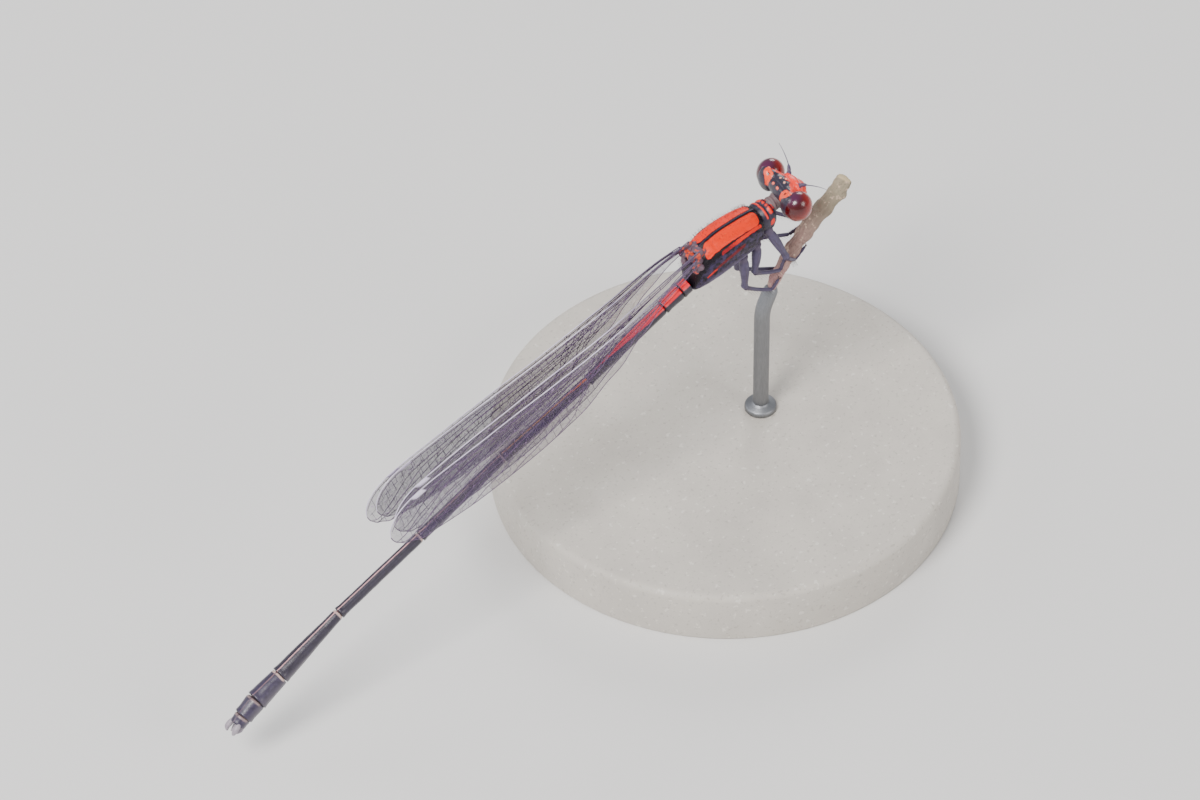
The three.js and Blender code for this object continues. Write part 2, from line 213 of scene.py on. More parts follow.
# Lobes that overlap, made one smooth skin.
def fused(shape, voxel, rounds):
    lobes = bpy.data.objects.new("lobes", mesh_from(shape, "lobes"))
    remesh = lobes.modifiers.new("one skin", "REMESH")
    remesh.mode = "VOXEL"
    remesh.voxel_size = voxel
    skin = bmesh.new()
    skin.from_mesh(evaluated_mesh(lobes))
    for _ in range(rounds):
        bmesh.ops.smooth_vert(
            skin, verts=skin.verts, factor=0.5, use_axis_x=True, use_axis_y=True, use_axis_z=True
        )
    return skin


# Thin round strands, each a list of (place, radius).
def strands(paths, roundness=0):
    data = bpy.data.curves.new("strands", "CURVE")
    data.dimensions = "3D"
    data.bevel_depth = 1.0
    data.bevel_resolution = roundness
    data.use_fill_caps = True
    for path in paths:
        spline = data.splines.new("POLY")
        spline.points.add(len(path) - 1)
        for point, (place, radius) in zip(spline.points, path):
            point.co = (*place, 1.0)
            point.radius = radius
    return evaluated_mesh(bpy.data.objects.new("strands", data))


def added(shape, mesh, material=0):
    first = len(shape.faces)
    shape.from_mesh(mesh)
    shape.faces.ensure_lookup_table()
    for face in shape.faces[first:]:
        face.material_index = material


# Sets a finished shape in the frame, as a piece that rides on the one body.
def settle(name, shape, finishes, nodes=(), height=BODY_HEIGHT):
    mesh = mesh_from(shape, name)
    mesh.transform(TO_METRES @ Matrix.Translation((0, 0, height)))
    for finish in finishes:
        mesh.materials.append(finish)
    mesh.polygons.foreach_set("use_smooth", [True] * len(mesh.polygons))
    mesh.update()
    piece = bpy.data.objects.new(name, mesh)
    bpy.context.collection.objects.link(piece)
    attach(piece, "root")
    if nodes:
        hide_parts(*nodes)


# Finishes

# A socket whose sums add Math nodes.
class Reading:
    def __init__(self, finish, socket):
        self.finish = finish
        self.socket = socket

    def __add__(self, other):
        return self.finish.maths("ADD", self, other)

    def __sub__(self, other):
        return self.finish.maths("SUBTRACT", self, other)

    def __rsub__(self, other):
        return self.finish.maths("SUBTRACT", other, self)

    def __mul__(self, other):
        return self.finish.maths("MULTIPLY", self, other)

    def __truediv__(self, other):
        return self.finish.maths("DIVIDE", self, other)

    def __pow__(self, other):
        return self.finish.maths("POWER", self, other)

    def __abs__(self):
        return self.finish.maths("ABSOLUTE", self)

    __radd__ = __add__
    __rmul__ = __mul__


# One material, whose place is read in millimetres from the middle of the thorax.
class Finish:
    def __init__(self, name):
        self.material = bpy.data.materials.new(name)
        self.material.use_nodes = True
        self.tree = self.material.node_tree
        self.tree.nodes.clear()
        place = self.node("ShaderNodeTexCoord").outputs["Object"]
        self.place = self.vector(
            "MULTIPLY_ADD", place, (1000, 1000, 1000), (0, 0, -BODY_HEIGHT)
        )
        split = self.node("ShaderNodeSeparateXYZ", {}, {0: self.place}).outputs
        self.x, self.y, self.z = (Reading(self, socket) for socket in split)

    # Any node: its type, its settings, then the values or links of its sockets.
    def node(self, kind, settings=None, sockets=None):
        made = self.tree.nodes.new(kind)
        for key, value in (settings or {}).items():
            setattr(made, key, value)
        for key, value in (sockets or {}).items():
            if isinstance(value, Reading):
                value = value.socket
            if isinstance(value, bpy.types.NodeSocket):
                self.tree.links.new(value, made.inputs[key])
            else:
                made.inputs[key].default_value = value
        return made

    def maths(self, operation, *values):
        sockets = dict(enumerate(values))
        made = self.node("ShaderNodeMath", {"operation": operation}, sockets)
        return Reading(self, made.outputs[0])

    def vector(self, operation, *values):
        sockets = dict(enumerate(values))
        return self.node("ShaderNodeVectorMath", {"operation": operation}, sockets).outputs[0]

    def dot(self, direction, offset=0.0):
        made = self.node(
            "ShaderNodeVectorMath", {"operation": "DOT_PRODUCT"}, {0: self.place, 1: direction}
        )
        return Reading(self, made.outputs["Value"]) - offset

    def least(self, one, other):
        return self.maths("MINIMUM", one, other)

    def most(self, one, other):
        return self.maths("MAXIMUM", one, other)

    # 0 below low and 1 above high, eased between.
    def rise(self, value, low, high):
        made = self.node(
            "ShaderNodeMapRange",
            {"interpolation_type": "SMOOTHSTEP"},
            {"Value": value, "From Min": low, "From Max": high},
        )
        return Reading(self, made.outputs["Result"])

    def above(self, value, edge, soft=0.02):
        return self.rise(value, edge - soft, edge + soft)

    def between(self, value, low, high, soft=0.02):
        return self.above(value, low, soft) * (1 - self.above(value, high, soft))

    # The length of two readings at right angles to each other.
    def length(self, one, other):
        return (one * one + other * other) ** 0.5

    # A rounded patch on two readings: 1 inside it.
    def patch(self, across, along, centre, half, corner, soft=0.02):
        over_a = self.most(abs(across - centre[0]) - (half[0] - corner), 0.0)
        over_b = self.most(abs(along - centre[1]) - (half[1] - corner), 0.0)
        return 1 - self.above(self.length(over_a, over_b), corner, soft)

    def stretched(self, stretch):
        return self.vector("MULTIPLY", self.place, stretch) if stretch else self.place

    def noise(self, scale, detail=3.0, roughness=0.55, stretch=None):
        place = self.stretched(stretch)
        made = self.node(
            "ShaderNodeTexNoise",
            {},
            {"Vector": place, "Scale": scale, "Detail": detail, "Roughness": roughness},
        )
        return Reading(self, made.outputs["Fac"])

    def cells(self, scale, feature="F1", stretch=None, output="Distance"):
        sockets = {"Vector": self.stretched(stretch), "Scale": scale}
        made = self.node("ShaderNodeTexVoronoi", {"feature": feature}, sockets)
        return Reading(self, made.outputs[output])

    def attribute(self, name):
        made = self.node("ShaderNodeAttribute", {"attribute_name": name})
        return Reading(self, made.outputs["Fac"])

    def mix(self, factor, low, high):
        sockets = {0: factor, 6: low, 7: high}
        settings = {"data_type": "RGBA", "clamp_factor": True}
        return self.node("ShaderNodeMix", settings, sockets).outputs[2]

    def bump(self, height, distance, strength=1.0):
        sockets = {"Strength": strength, "Distance": distance * MILLIMETRE, "Height": height}
        return self.node("ShaderNodeBump", {}, sockets).outputs["Normal"]

    # The finished surface. What varies over it comes first, and the rest are plain numbers.
    def surface(self, colour, roughness, normal=None, **numbers):
        sockets = {"Base Color": colour, "Roughness": roughness}
        if normal:
            sockets["Normal"] = normal
        sockets.update({key.replace("_", " "): value for key, value in numbers.items()})
        made = self.node("ShaderNodeBsdfPrincipled", {}, sockets)
        self.node("ShaderNodeOutputMaterial", {}, {"Surface": made.outputs[0]})
        return self.material


# A colour as the eye names it, 0 to 255, in the renderer's own light values.
def tint(red, green, blue):
    shares = [channel / 255 for channel in (red, green, blue)]
    light = [s / 12.92 if s <= 0.04045 else ((s + 0.055) / 1.055) ** 2.4 for s in shares]
    return (*light, 1.0)


BLACK_CUTICLE = tint(22, 17, 24)
VIOLET_BLOOM = tint(78, 68, 98)
ORANGE = tint(240, 50, 0)
DEEP_ORANGE = tint(226, 34, 0)
SALMON = tint(240, 40, 20)
CRIMSON = tint(232, 0, 26)
MAROON = tint(84, 6, 16)
PALE_JOINT = tint(206, 176, 168)


# Thorax: rows of place along the body, half width, top and bottom.
THORAX_ROWS = [
    [-2.6, 0.46, -0.42, -1.36],
    [-2.46, 0.66, 0.2, -1.42],
    [-2.16, 0.82, 0.8, -1.42],
    [-1.75, 0.94, 1.14, -1.36],
    [-1.1, 1.03, 1.36, -1.24],
    [-0.3, 1.06, 1.46, -1.06],
    [0.5, 1.02, 1.5, -0.92],
    [1.15, 0.95, 1.49, -0.8],
    [1.6, 0.85, 1.43, -0.6],
    [1.88, 0.68, 1.3, -0.2],
]
# Seams on its sides: distance round from the top line, depth and width.
SEAMS = [(1.0, 0.035, 0.05), (1.5, 0.025, 0.04), (2.15, 0.04, 0.06)]


def thorax_rings(steps=110, sides=140):
    first, last = THORAX_ROWS[0][0], THORAX_ROWS[-1][0]
    rings = []
    for share in stations(1.0, steps):
        x = lerp(last, first, share)
        width, top, bottom = read(THORAX_ROWS, x)
        middle = (top + bottom) / 2
        shut = opened(min(x - first, last - x), 0.16)
        ring = section(
            Vector((x, 0, middle)), LEFT, UP, width * shut,
            (top - middle) * shut, (middle - bottom) * shut, 2.5, sides,
        )
        for point in ring:
            height = (point.z - middle) / (top - middle)
            point.y *= 1 + 0.1 * height
            point.z += 0.08 * bell(point.y, 0.09) * max(height, 0) * shut
        arcs = [0.0]
        for i in range(sides // 2):
            arcs.append(arcs[-1] + (ring[i + 1] - ring[i]).length)
        for i, point in enumerate(ring):
            around = arcs[min(i, sides - i)]
            inward = Vector((0, -point.y, middle - point.z)).normalized()
            dent = sum(
                depth * bell(around - place - 0.12 * (x + 0.3), width)
                for place, depth, width in SEAMS
            )
            pleat = 0.03 * bell(x + 1.35, 0.1) * (1 if abs(point.y) < 0.7 else 0.3)
            grain = 0.012 * noise.noise(point * 3.0)
            point += inward * (dent * shut + pleat + grain)
        rings.append(ring)
    return rings


def chest_finish():
    skin = Finish("chest_cuticle")
    around = skin.attribute("girth")
    wave = skin.noise(2.2, 2) - 0.5
    over = around + wave * 0.05
    along = skin.x + wave * 0.06
    oblique = along + (over - 0.45) * 0.22
    ragged = over + (skin.noise(6.0, 2) - 0.5) * 0.09 * skin.above(over, 0.6, 0.2)
    broad = skin.patch(ragged, oblique, (0.53, -0.18), (0.4, 1.72), 0.27)
    ripple = skin.noise(9.0, 2) - 0.5
    second = skin.patch(ragged + along * 0.07, along, (1.12, 0.15), (0.1, 1.35), 0.09)
    third = skin.patch(over + along * 0.16, along, (1.62, -0.8), (0.11, 1.1), 0.1, 0.05)
    rear_spot = skin.patch(over, along, (1.95, -1.75), (0.09, 0.26), 0.08)
    under = skin.above(over, 2.5, 0.3)
    keel = 1 - skin.above(around, 0.03, 0.02)
    bloom = skin.rise(skin.noise(4.0, 4), 0.36, 0.66) * skin.above(over, 1.25, 0.2)
    black = skin.mix(bloom * 0.8, BLACK_CUTICLE, tint(70, 58, 92))
    black = skin.mix(keel * 0.5, black, VIOLET_BLOOM)
    black = skin.mix(under * 0.7, black, tint(100, 88, 124))
    far_side = skin.above(skin.y, 0.1, 0.2)
    warm = skin.mix(skin.noise(1.6, 3) * 0.6, ORANGE, DEEP_ORANGE)
    warm = skin.mix(far_side * 0.45, warm, tint(236, 40, 34))
    warm = skin.mix(skin.above(ripple, 0.16, 0.05) * 0.25, warm, tint(255, 118, 62))
    colour = skin.mix(broad, black, warm)
    rear = 1 - skin.above(skin.x, -0.35, 0.45)
    thin = skin.mix(rear, DEEP_ORANGE, tint(150, 22, 30))
    colour = skin.mix(second, colour, thin)
    colour = skin.mix(third * 0.9, colour, tint(112, 10, 22))
    colour = skin.mix(rear_spot, colour, DEEP_ORANGE)
    rough = 0.34 + skin.noise(14.0, 2) * 0.16
    pits = skin.cells(16.0) * 0.5 + skin.noise(26.0, 2)
    normal = skin.bump(pits, 0.012, 0.5)
    return skin.surface(
        colour, rough, normal, Specular_IOR_Level=0.18, Coat_Weight=0.05, Coat_Roughness=0.3
    )


def make_thorax():
    settle("thorax_skin", rolled(thorax_rings()), [chest_finish()], ["thorax"])


# Prothorax, a saddle with two swellings and a raised hind margin. Its rows are as the thorax's.
SADDLE_ROWS = [
    [1.7, 0.6, 1.2, 0.0],
    [2.02, 0.76, 1.42, -0.05],
    [2.14, 0.77, 1.41, -0.08],
    [2.22, 0.74, 1.33, -0.1],
    [2.42, 0.78, 1.42, -0.1],
    [2.56, 0.7, 1.36, 0.0],
    [2.66, 0.66, 1.38, 0.15],
    [2.74, 0.52, 1.26, 0.45],
]


def saddle_finish():
    skin = Finish("saddle_cuticle")
    side = abs(skin.y)
    wave = (skin.noise(5.0, 2) - 0.5) * 0.06
    x = skin.x + wave
    girth = skin.attribute("girth")
    margin = skin.patch(girth, x, (0.36, 2.06), (0.48, 0.05), 0.04)
    lobe = skin.patch(side, x, (0.43, 2.4), (0.17, 0.11), 0.09)
    middle = skin.patch(side, x, (0.12, 2.42), (0.08, 0.09), 0.06)
    collar = skin.patch(side, x, (0.24, 2.64), (0.2, 0.035), 0.03)
    flank = skin.patch(girth, x, (1.12, 2.34), (0.16, 0.14), 0.12)
    warm = skin.most(skin.most(margin, lobe), skin.most(middle, collar))
    warm = skin.most(warm, flank * 0.8)
    dark = skin.mix(skin.noise(6.0) * 0.5, BLACK_CUTICLE, VIOLET_BLOOM)
    colour = skin.mix(warm, dark, skin.mix(skin.noise(3.0), SALMON, DEEP_ORANGE))
    normal = skin.bump(skin.noise(22.0, 2), 0.012, 0.5)
    return skin.surface(
        colour, 0.34 + skin.noise(12.0) * 0.14, normal, Specular_IOR_Level=0.45
    )


def make_saddle(steps=64, sides=96):
    first, last = SADDLE_ROWS[0][0], SADDLE_ROWS[-1][0]
    rings = []
    for step in range(steps + 1):
        x = lerp(last, first, step / steps)
        width, top, bottom = read(SADDLE_ROWS, x)
        middle = (top + bottom) / 2
        shut = 0.0 if step == steps else opened(last - x, 0.12)
        ring = section(
            Vector((x, 0, middle)), LEFT, UP, width * shut,
            (top - middle) * shut, (middle - bottom) * shut, 2.2, sides,
        )
        for point in ring:
            height = max((point.z - middle) / (top - middle), 0)
            swell = 0.05 * bell(abs(point.y) - 0.36, 0.16) * bell(x - 2.4, 0.14)
            point.z += height * (swell - 0.03 * bell(point.y, 0.05)) * shut
        rings.append(ring)
    settle("prothorax_skin", rolled(rings), [saddle_finish()], ["prothorax"])


# Head in its own frame: x ahead, y left, z up, from the midpoint between the eyes.
HEAD_TURN = math.radians(-11)
HEAD_PLACE = Vector((3.62, -0.03, 1.62))
HEAD_SEAT = Matrix.Translation(HEAD_PLACE) @ Matrix.Rotation(HEAD_TURN, 4, "Z")
EYE_PLACE = Vector((0.05, 1.38, 0.0))
EYE_RADII = (0.74, 0.68, 0.82)
# Lobes of the head, each a place and its half sizes, and those that the two sides share.
HEAD_LOBES = [
    ((-0.04, 0, 0.12), (0.58, 1.35, 0.56)),
    ((0.42, 0, 0.12), (0.5, 0.84, 0.4)),
    ((0.5, 0, 0.3), (0.34, 0.6, 0.24)),
    ((0.76, 0, -0.14), (0.46, 0.64, 0.28)),
    ((0.9, 0, -0.5), (0.38, 0.52, 0.2)),
    ((0.86, 0, -0.74), (0.3, 0.4, 0.16)),
    ((0.38, 0, -0.62), (0.6, 0.78, 0.42)),
    ((0.22, 0, -0.98), (0.52, 0.44, 0.24)),
    ((-0.42, 0, 0.2), (0.16, 0.72, 0.36)),
]
PAIRED_LOBES = [
    ((-0.24, 1.14, -0.02), (0.5, 0.62, 0.76)),
    ((-0.12, 0.74, 0.46), (0.3, 0.34, 0.24)),
    ((0.6, 0.66, -0.4), (0.34, 0.26, 0.3)),
    ((0.52, 0.46, 0.34), (0.17, 0.17, 0.2)),
]
SIMPLE_EYES = [(0.14, 0.0), (-0.06, 0.2), (-0.06, -0.2)]


def head_reading(skin):
    ahead = (math.cos(HEAD_TURN), math.sin(HEAD_TURN), 0)
    left = (-math.sin(HEAD_TURN), math.cos(HEAD_TURN), 0)
    x = skin.dot(ahead, HEAD_PLACE.dot(Vector(ahead)))
    y = skin.dot(left, HEAD_PLACE.dot(Vector(left)))
    return x, y, skin.z - HEAD_PLACE.z


def head_finish():
    skin = Finish("head_cuticle")
    x, y, z = head_reading(skin)
    side = abs(y)
    wave = skin.noise(4.0, 2) - 0.5
    jag = skin.noise(2.6, 1) - 0.5
    face = skin.mix(skin.noise(2.4, 3), SALMON, tint(255, 60, 40))
    face = skin.mix(skin.above(x, 0.95, 0.3) * 0.22, face, tint(255, 128, 104))
    lip = skin.between(z + wave * 0.04, -0.4, -0.34, 0.02)
    lower = 1 - skin.above(z, -0.84, 0.05)
    face = skin.mix(lip * 0.75, face, tint(120, 16, 20))
    face = skin.mix(lower * 0.85, face, tint(46, 26, 34))
    points = skin.maths("SINE", side * 15.0 + 0.9) * 0.08
    points = points * (1 - skin.above(side, 0.6, 0.1))
    edge = 0.17 - skin.rise(side, 0.4, 0.85) * 0.27 + jag * 0.12
    black_top = 1 - skin.above(x + wave * 0.14 + points - edge, 0.0)
    low_back = (1 - skin.above(x, 0.06, 0.05)) * (1 - skin.above(z, 0.1, 0.06))
    black_top = skin.most(black_top, low_back)
    slant = x - side * 0.25 + jag * 0.05
    spot = skin.patch(side + wave * 0.08, slant, (0.86, -0.6), (0.31, 0.21), 0.17)
    spot = spot * skin.above(z, 0.02, 0.06)
    dot = 1 - skin.above(skin.length(side - 0.84, x + 0.39), 0.06, 0.015)
    bar = skin.patch(side, x, (0.2, -0.47), (0.09, 0.05), 0.04) * skin.above(z, 0.2)
    far = [skin.length(x - ahead, y - aside) for ahead, aside in SIMPLE_EYES]
    nearest = skin.least(skin.least(far[0], far[1]), far[2])
    bead = (1 - skin.above(nearest, 0.06, 0.02)) * skin.above(z, 0.6, 0.03)
    dark = skin.mix(skin.noise(5.0) * 0.45, BLACK_CUTICLE, VIOLET_BLOOM)
    colour = skin.mix(black_top, face, dark)
    colour = skin.mix(spot, colour, skin.mix(skin.noise(3.0), ORANGE, tint(255, 92, 44)))
    colour = skin.mix(spot * dot, colour, BLACK_CUTICLE)
    colour = skin.mix(bar, colour, tint(255, 112, 84))
    colour = skin.mix(bead, colour, tint(255, 176, 150))
    rear = (1 - skin.above(z, 0.0, 0.1)) * (1 - skin.above(x, -0.3, 0.06))
    rear = rear * skin.above(side, 0.7, 0.1)
    colour = skin.mix(rear * 0.5, colour, tint(96, 92, 96))
    normal = skin.bump(skin.cells(13.0) * 0.6 + skin.noise(24.0, 2) * 0.6, 0.014, 0.6)
    rough = 0.26 + skin.noise(9.0, 3) * 0.2
    return skin.surface(
        colour, rough, normal, Specular_IOR_Level=0.5, Coat_Weight=0.25, Coat_Roughness=0.2
    )


def eye_finish():
    skin = Finish("eye_lens")
    x, y, z = head_reading(skin)
    low = 1 - skin.above(z - x * 0.5, -0.05, 0.5)
    deep = skin.mix(skin.noise(1.5, 2), tint(50, 2, 8), tint(80, 4, 10))
    colour = skin.mix(low, deep, tint(140, 16, 4))
    rim = skin.above(x, 0.3, 0.35)
    colour = skin.mix(rim * 0.7, colour, tint(168, 24, 6))
    flecks = 1 - skin.above(skin.cells(9.0), 0.12, 0.06)
    colour = skin.mix(flecks * 0.35, colour, tint(48, 4, 10))
    # Painted reflection: a faint violet patch on the top of each eye, where the lights reflect.
    painted_reflection = skin.above(z - x * 0.5, 0.76, 0.18)
    colour = skin.mix(painted_reflection * 0.22, colour, tint(104, 62, 128))
    facets = skin.cells(26.0)
    normal = skin.bump(facets, 0.01, 0.35)
    return skin.surface(
        colour, 0.16 + facets * 0.1, normal,
        Specular_IOR_Level=0.4, Coat_Weight=0.55, Coat_Roughness=0.1, Coat_IOR=1.45,
    )


def make_head():
    lobes = bmesh.new()
    for place, radii in HEAD_LOBES:
        ball(lobes, place, radii, HEAD_SEAT)
    for (x, y, z), radii in PAIRED_LOBES:
        for side in (1, -1):
            ball(lobes, (x, y * side, z), radii, HEAD_SEAT)
    for x, y in SIMPLE_EYES:
        ball(lobes, (x, y, 0.66), (0.085, 0.085, 0.09), HEAD_SEAT, 16, 10)
    skin = fused(lobes, 0.035, 4)
    inverse = HEAD_SEAT.inverted()
    turn = HEAD_SEAT.to_3x3()
    for vert in skin.verts:
        place = inverse @ vert.co
        crown = ease((place.z - 0.2) / 0.2)
        groove = 0.035 * bell(place.z + 0.37, 0.035) * ease((place.x - 0.5) / 0.3)
        groove += 0.03 * bell(place.x - 0.34, 0.03) * crown * ease(1.2 - abs(place.y))
        groove += 0.02 * bell(place.x + 0.3, 0.04) * crown
        vert.co -= vert.normal * groove
        vert.co += turn @ Vector((0, 0, 0.01 * noise.noise(place * 5.0)))
    settle("head_skin", skin, [head_finish()], ["head"])
    lens = eye_finish()
    for name, side in (("left", 1), ("right", -1)):
        shape = bmesh.new()
        place = (EYE_PLACE.x, EYE_PLACE.y * side, EYE_PLACE.z)
        ball(shape, place, EYE_RADII, HEAD_SEAT, 96, 64)
        settle(f"eye_lens_{name}", shape, [lens], [f"eye_{name}"])


FEELERS = {
    "left": [(0.5, 0.42, 0.3), (0.64, 0.56, 0.5), (0.74, 0.8, 0.72), (0.78, 1.2, 1.02),
             (0.76, 1.5, 1.26), (0.72, 1.75, 1.45)],
    "right": [(0.5, -0.42, 0.3), (0.74, -0.56, 0.46), (1.0, -0.74, 0.47), (1.35, -0.95, 0.4),
              (1.58, -1.1, 0.32), (1.78, -1.25, 0.22)],
}
FEELER_RADII = [
    [0, 0.13], [0.14, 0.13], [0.17, 0.09], [0.2, 0.1], [0.32, 0.075], [0.35, 0.035], [0.6, 0.022],
    [1, 0.009],
]


def make_feelers(finish):
    for name, places in FEELERS.items():
        path = route([HEAD_SEAT @ Vector(place) for place in places])
        skin = rolled(limb_rings(path, FEELER_RADII, 70, 16))
        settle(f"feeler_{name}", skin, [finish], [f"antenna_{name}"])


def neck_finish():
    skin = Finish("neck_membrane")
    folds = skin.maths("SINE", skin.x * 46.0 + skin.noise(3.0) * 5.0)
    colour = skin.mix(skin.noise(4.0, 3), tint(96, 78, 84), tint(136, 112, 110))
    colour = skin.mix(skin.rise(folds, 0.3, 1.0) * 0.5, colour, tint(60, 46, 58))
    normal = skin.bump(folds * 0.3 + skin.noise(14.0) * 0.5, 0.02, 0.6)
    return skin.surface(colour, 0.55 + skin.noise(6.0) * 0.15, normal)


def make_neck():
    lobes = bmesh.new()
    ball(lobes, (2.98, -0.01, 1.2), (0.5, 0.36, 0.34))
    ball(lobes, (2.8, 0.0, 1.14), (0.2, 0.44, 0.36))
    ball(lobes, (3.12, -0.02, 1.3), (0.2, 0.4, 0.34))
    for side in (1, -1):
        ball(lobes, (2.92, 0.24 * side, 0.98), (0.34, 0.14, 0.16))
    skin = fused(lobes, 0.03, 5)
    settle("neck_skin", skin, [neck_finish()], ["neck"])


# Abdomen: each ring's length, droop in degrees, and half widths at its front and rear.
ABDOMEN_START = Vector((-2.62, 0, -1.02))
ABDOMEN_RINGS = [
    [0.62, 20, 0.44, 0.42],
    [1.2, 24, 0.42, 0.36],
    [5.3, 22.5, 0.33, 0.29],
    [5.8, 18.5, 0.28, 0.29],
    [5.75, 21.5, 0.28, 0.29],
    [5.6, 21, 0.28, 0.3],
    [4.25, 27, 0.3, 0.46],
    [1.7, 26, 0.47, 0.54],
    [1.02, 34, 0.53, 0.47],
    [0.5, 40, 0.45, 0.38],
]
RING_OVERLAP = 0.1
RING_GAP = 0.02
RED_RINGS = 3
# Half widths of the red back on the first rings, at the front and rear of each.
RED_BACKS = [(0.42, 0.42), (0.4, 0.34), (0.32, 0.02)]


def ring_bump(skin):
    rings = skin.attribute("fore")
    return skin.noise(18.0, 2) + skin.cells(20.0) * 0.4 + skin.maths("SINE", rings * 60.0) * 0.05


# Red back that narrows from one half width to another, measured round from the top line.
def crimson_finish(number, length, front_half, rear_half):
    skin = Finish(f"crimson_ring_{number}")
    girth = skin.attribute("girth")
    fore = skin.attribute("fore")
    wave = (skin.noise(3.0, 2) - 0.5) * 0.05
    half = front_half + (rear_half - front_half) * skin.rise(fore, 0.0, length)
    red = 1 - skin.above(girth + wave - half, 0.0, 0.03)
    line = 1 - skin.above(girth, 0.022, 0.014)
    second = skin.between(girth + wave * 0.5, 0.2, 0.235, 0.015)
    joint = 1 - skin.above(skin.attribute("aft"), 0.1, 0.03)
    front = 1 - skin.above(fore, 0.05, 0.02)
    back = skin.mix(skin.noise(2.5, 3), CRIMSON, tint(252, 22, 46))
    back = skin.mix(skin.most(line, second * 0.6), back, MAROON)
    dark = skin.mix(skin.noise(6.0) * 0.4, BLACK_CUTICLE, VIOLET_BLOOM)
    colour = skin.mix(red, dark, back)
    colour = skin.mix(skin.most(joint, front), colour, BLACK_CUTICLE)
    normal = skin.bump(ring_bump(skin), 0.012, 0.5)
    return skin.surface(
        colour, 0.3 + skin.noise(10.0) * 0.15, normal, Coat_Weight=0.15, Coat_Roughness=0.25
    )


def dark_ring_finish(name, ring_pale=1.0, streak=0.0, bloom=0.2, line=0.9):
    skin = Finish(name)
    line_colour = tint(228, 150, 72) if streak else tint(214, 164, 166)
    girth = skin.attribute("girth")
    fore = skin.attribute("fore")
    aft = skin.attribute("aft")
    wave = (skin.noise(4.0, 2) - 0.5) * 0.03
    dark = skin.mix(skin.noise(5.0, 3) * bloom * 2, BLACK_CUTICLE, VIOLET_BLOOM)
    under = skin.above(girth, 0.6, 0.15)
    dark = skin.mix(under * 0.5, dark, tint(92, 84, 96))
    back_line = 1 - skin.above(girth + wave, 0.03, 0.02)
    colour = skin.mix(back_line * line, dark, line_colour)
    joint = 1 - skin.above(fore + wave * 2, 0.17, 0.05)
    joint = joint * (1 - skin.above(girth, 0.62, 0.1)) * skin.above(girth, 0.035, 0.03)
    colour = skin.mix(joint * ring_pale, colour, PALE_JOINT)
    if streak:
        gold = 1 - skin.above(girth + fore * 0.04, 0.1, 0.03)
        gold = gold * (1 - skin.above(fore, streak, 0.2))
        colour = skin.mix(gold, colour, tint(240, 112, 30))
    rim = 1 - skin.above(aft, 0.08, 0.03)
    colour = skin.mix(rim * 0.8, colour, BLACK_CUTICLE)
    normal = skin.bump(ring_bump(skin), 0.012, 0.5)
    return skin.surface(
        colour, 0.3 + skin.noise(10.0) * 0.18, normal, Coat_Weight=0.2, Coat_Roughness=0.25
    )


def abdomen_ring(start, length, droop, front_half, rear_half, number):
    angle = math.radians(droop)
    along = Vector((math.cos(angle), 0, math.sin(angle)))
    up = Vector((-math.sin(angle), 0, math.cos(angle)))
    steps = max(int(length / 0.07), 26)
    overlap = RING_OVERLAP if number > 1 else 0.0
    rings = []
    for step in range(steps + 1):
        share = step / steps
        back = lerp(-overlap, length - RING_GAP, share)
        half = lerp(front_half, rear_half, ease(share))
        half -= 0.05 * bell(back + overlap, 0.1) if number > 1 else 0.0
        half += 0.03 * bell(length - 0.12 - back, 0.14)
        half *= opened(min(back + overlap, length - RING_GAP - back), 0.07)
        centre = start - along * back
        ring = section(centre, LEFT, up, half, half, half * 1.06, 2.0, 56)
        for point in ring:
            out = (point - centre).normalized() if half > 0 else up
            side = abs(point.y) / max(half, 0.01)
            pleat = 0.02 * bell(side - 0.93, 0.05) * (1 if out.dot(up) < 0 else 0)
            keel = 0.012 * bell(point.y, 0.03) if out.dot(up) > 0 else 0
            dimple = 0.01 * noise.noise(point * 2.2)
            point += out * (keel - pleat + dimple)
        rings.append(ring)
    return rolled(rings), along, up


def make_abdomen():
    plain = dark_ring_finish("dark_ring_finish")
    fourth = dark_ring_finish("dark_ring_streaked", streak=1.4)
    eighth = dark_ring_finish("dark_ring_bloomed", bloom=0.42, line=0.25)
    last = dark_ring_finish("dark_ring_plain", ring_pale=0.35, bloom=0.42, line=0.1)
    finishes = {4: fourth, 8: eighth, 9: last, 10: last}
    cursor = ABDOMEN_START.copy()
    for number, (length, droop, front_half, rear_half) in enumerate(ABDOMEN_RINGS, 1):
        skin, along, up = abdomen_ring(cursor, length, droop, front_half, rear_half, number)
        if number <= RED_RINGS:
            parts = [crimson_finish(number, length, *RED_BACKS[number - 1])]
        else:
            parts = [finishes.get(number, plain)]
        if number == len(ABDOMEN_RINGS):
            add_claspers(skin, cursor, along, up, length)
            parts.append(clasper_finish())
        settle(f"abdomen_ring_{number}", skin, parts, [f"abdomen_{number}"])
        cursor = cursor - along * length


def clasper_finish():
    skin = Finish("clasper_cuticle")
    colour = skin.mix(skin.noise(5.0, 3), tint(176, 168, 176), tint(120, 108, 122))
    normal = skin.bump(skin.noise(20.0), 0.01, 0.5)
    return skin.surface(colour, 0.36 + skin.noise(9.0) * 0.15, normal)


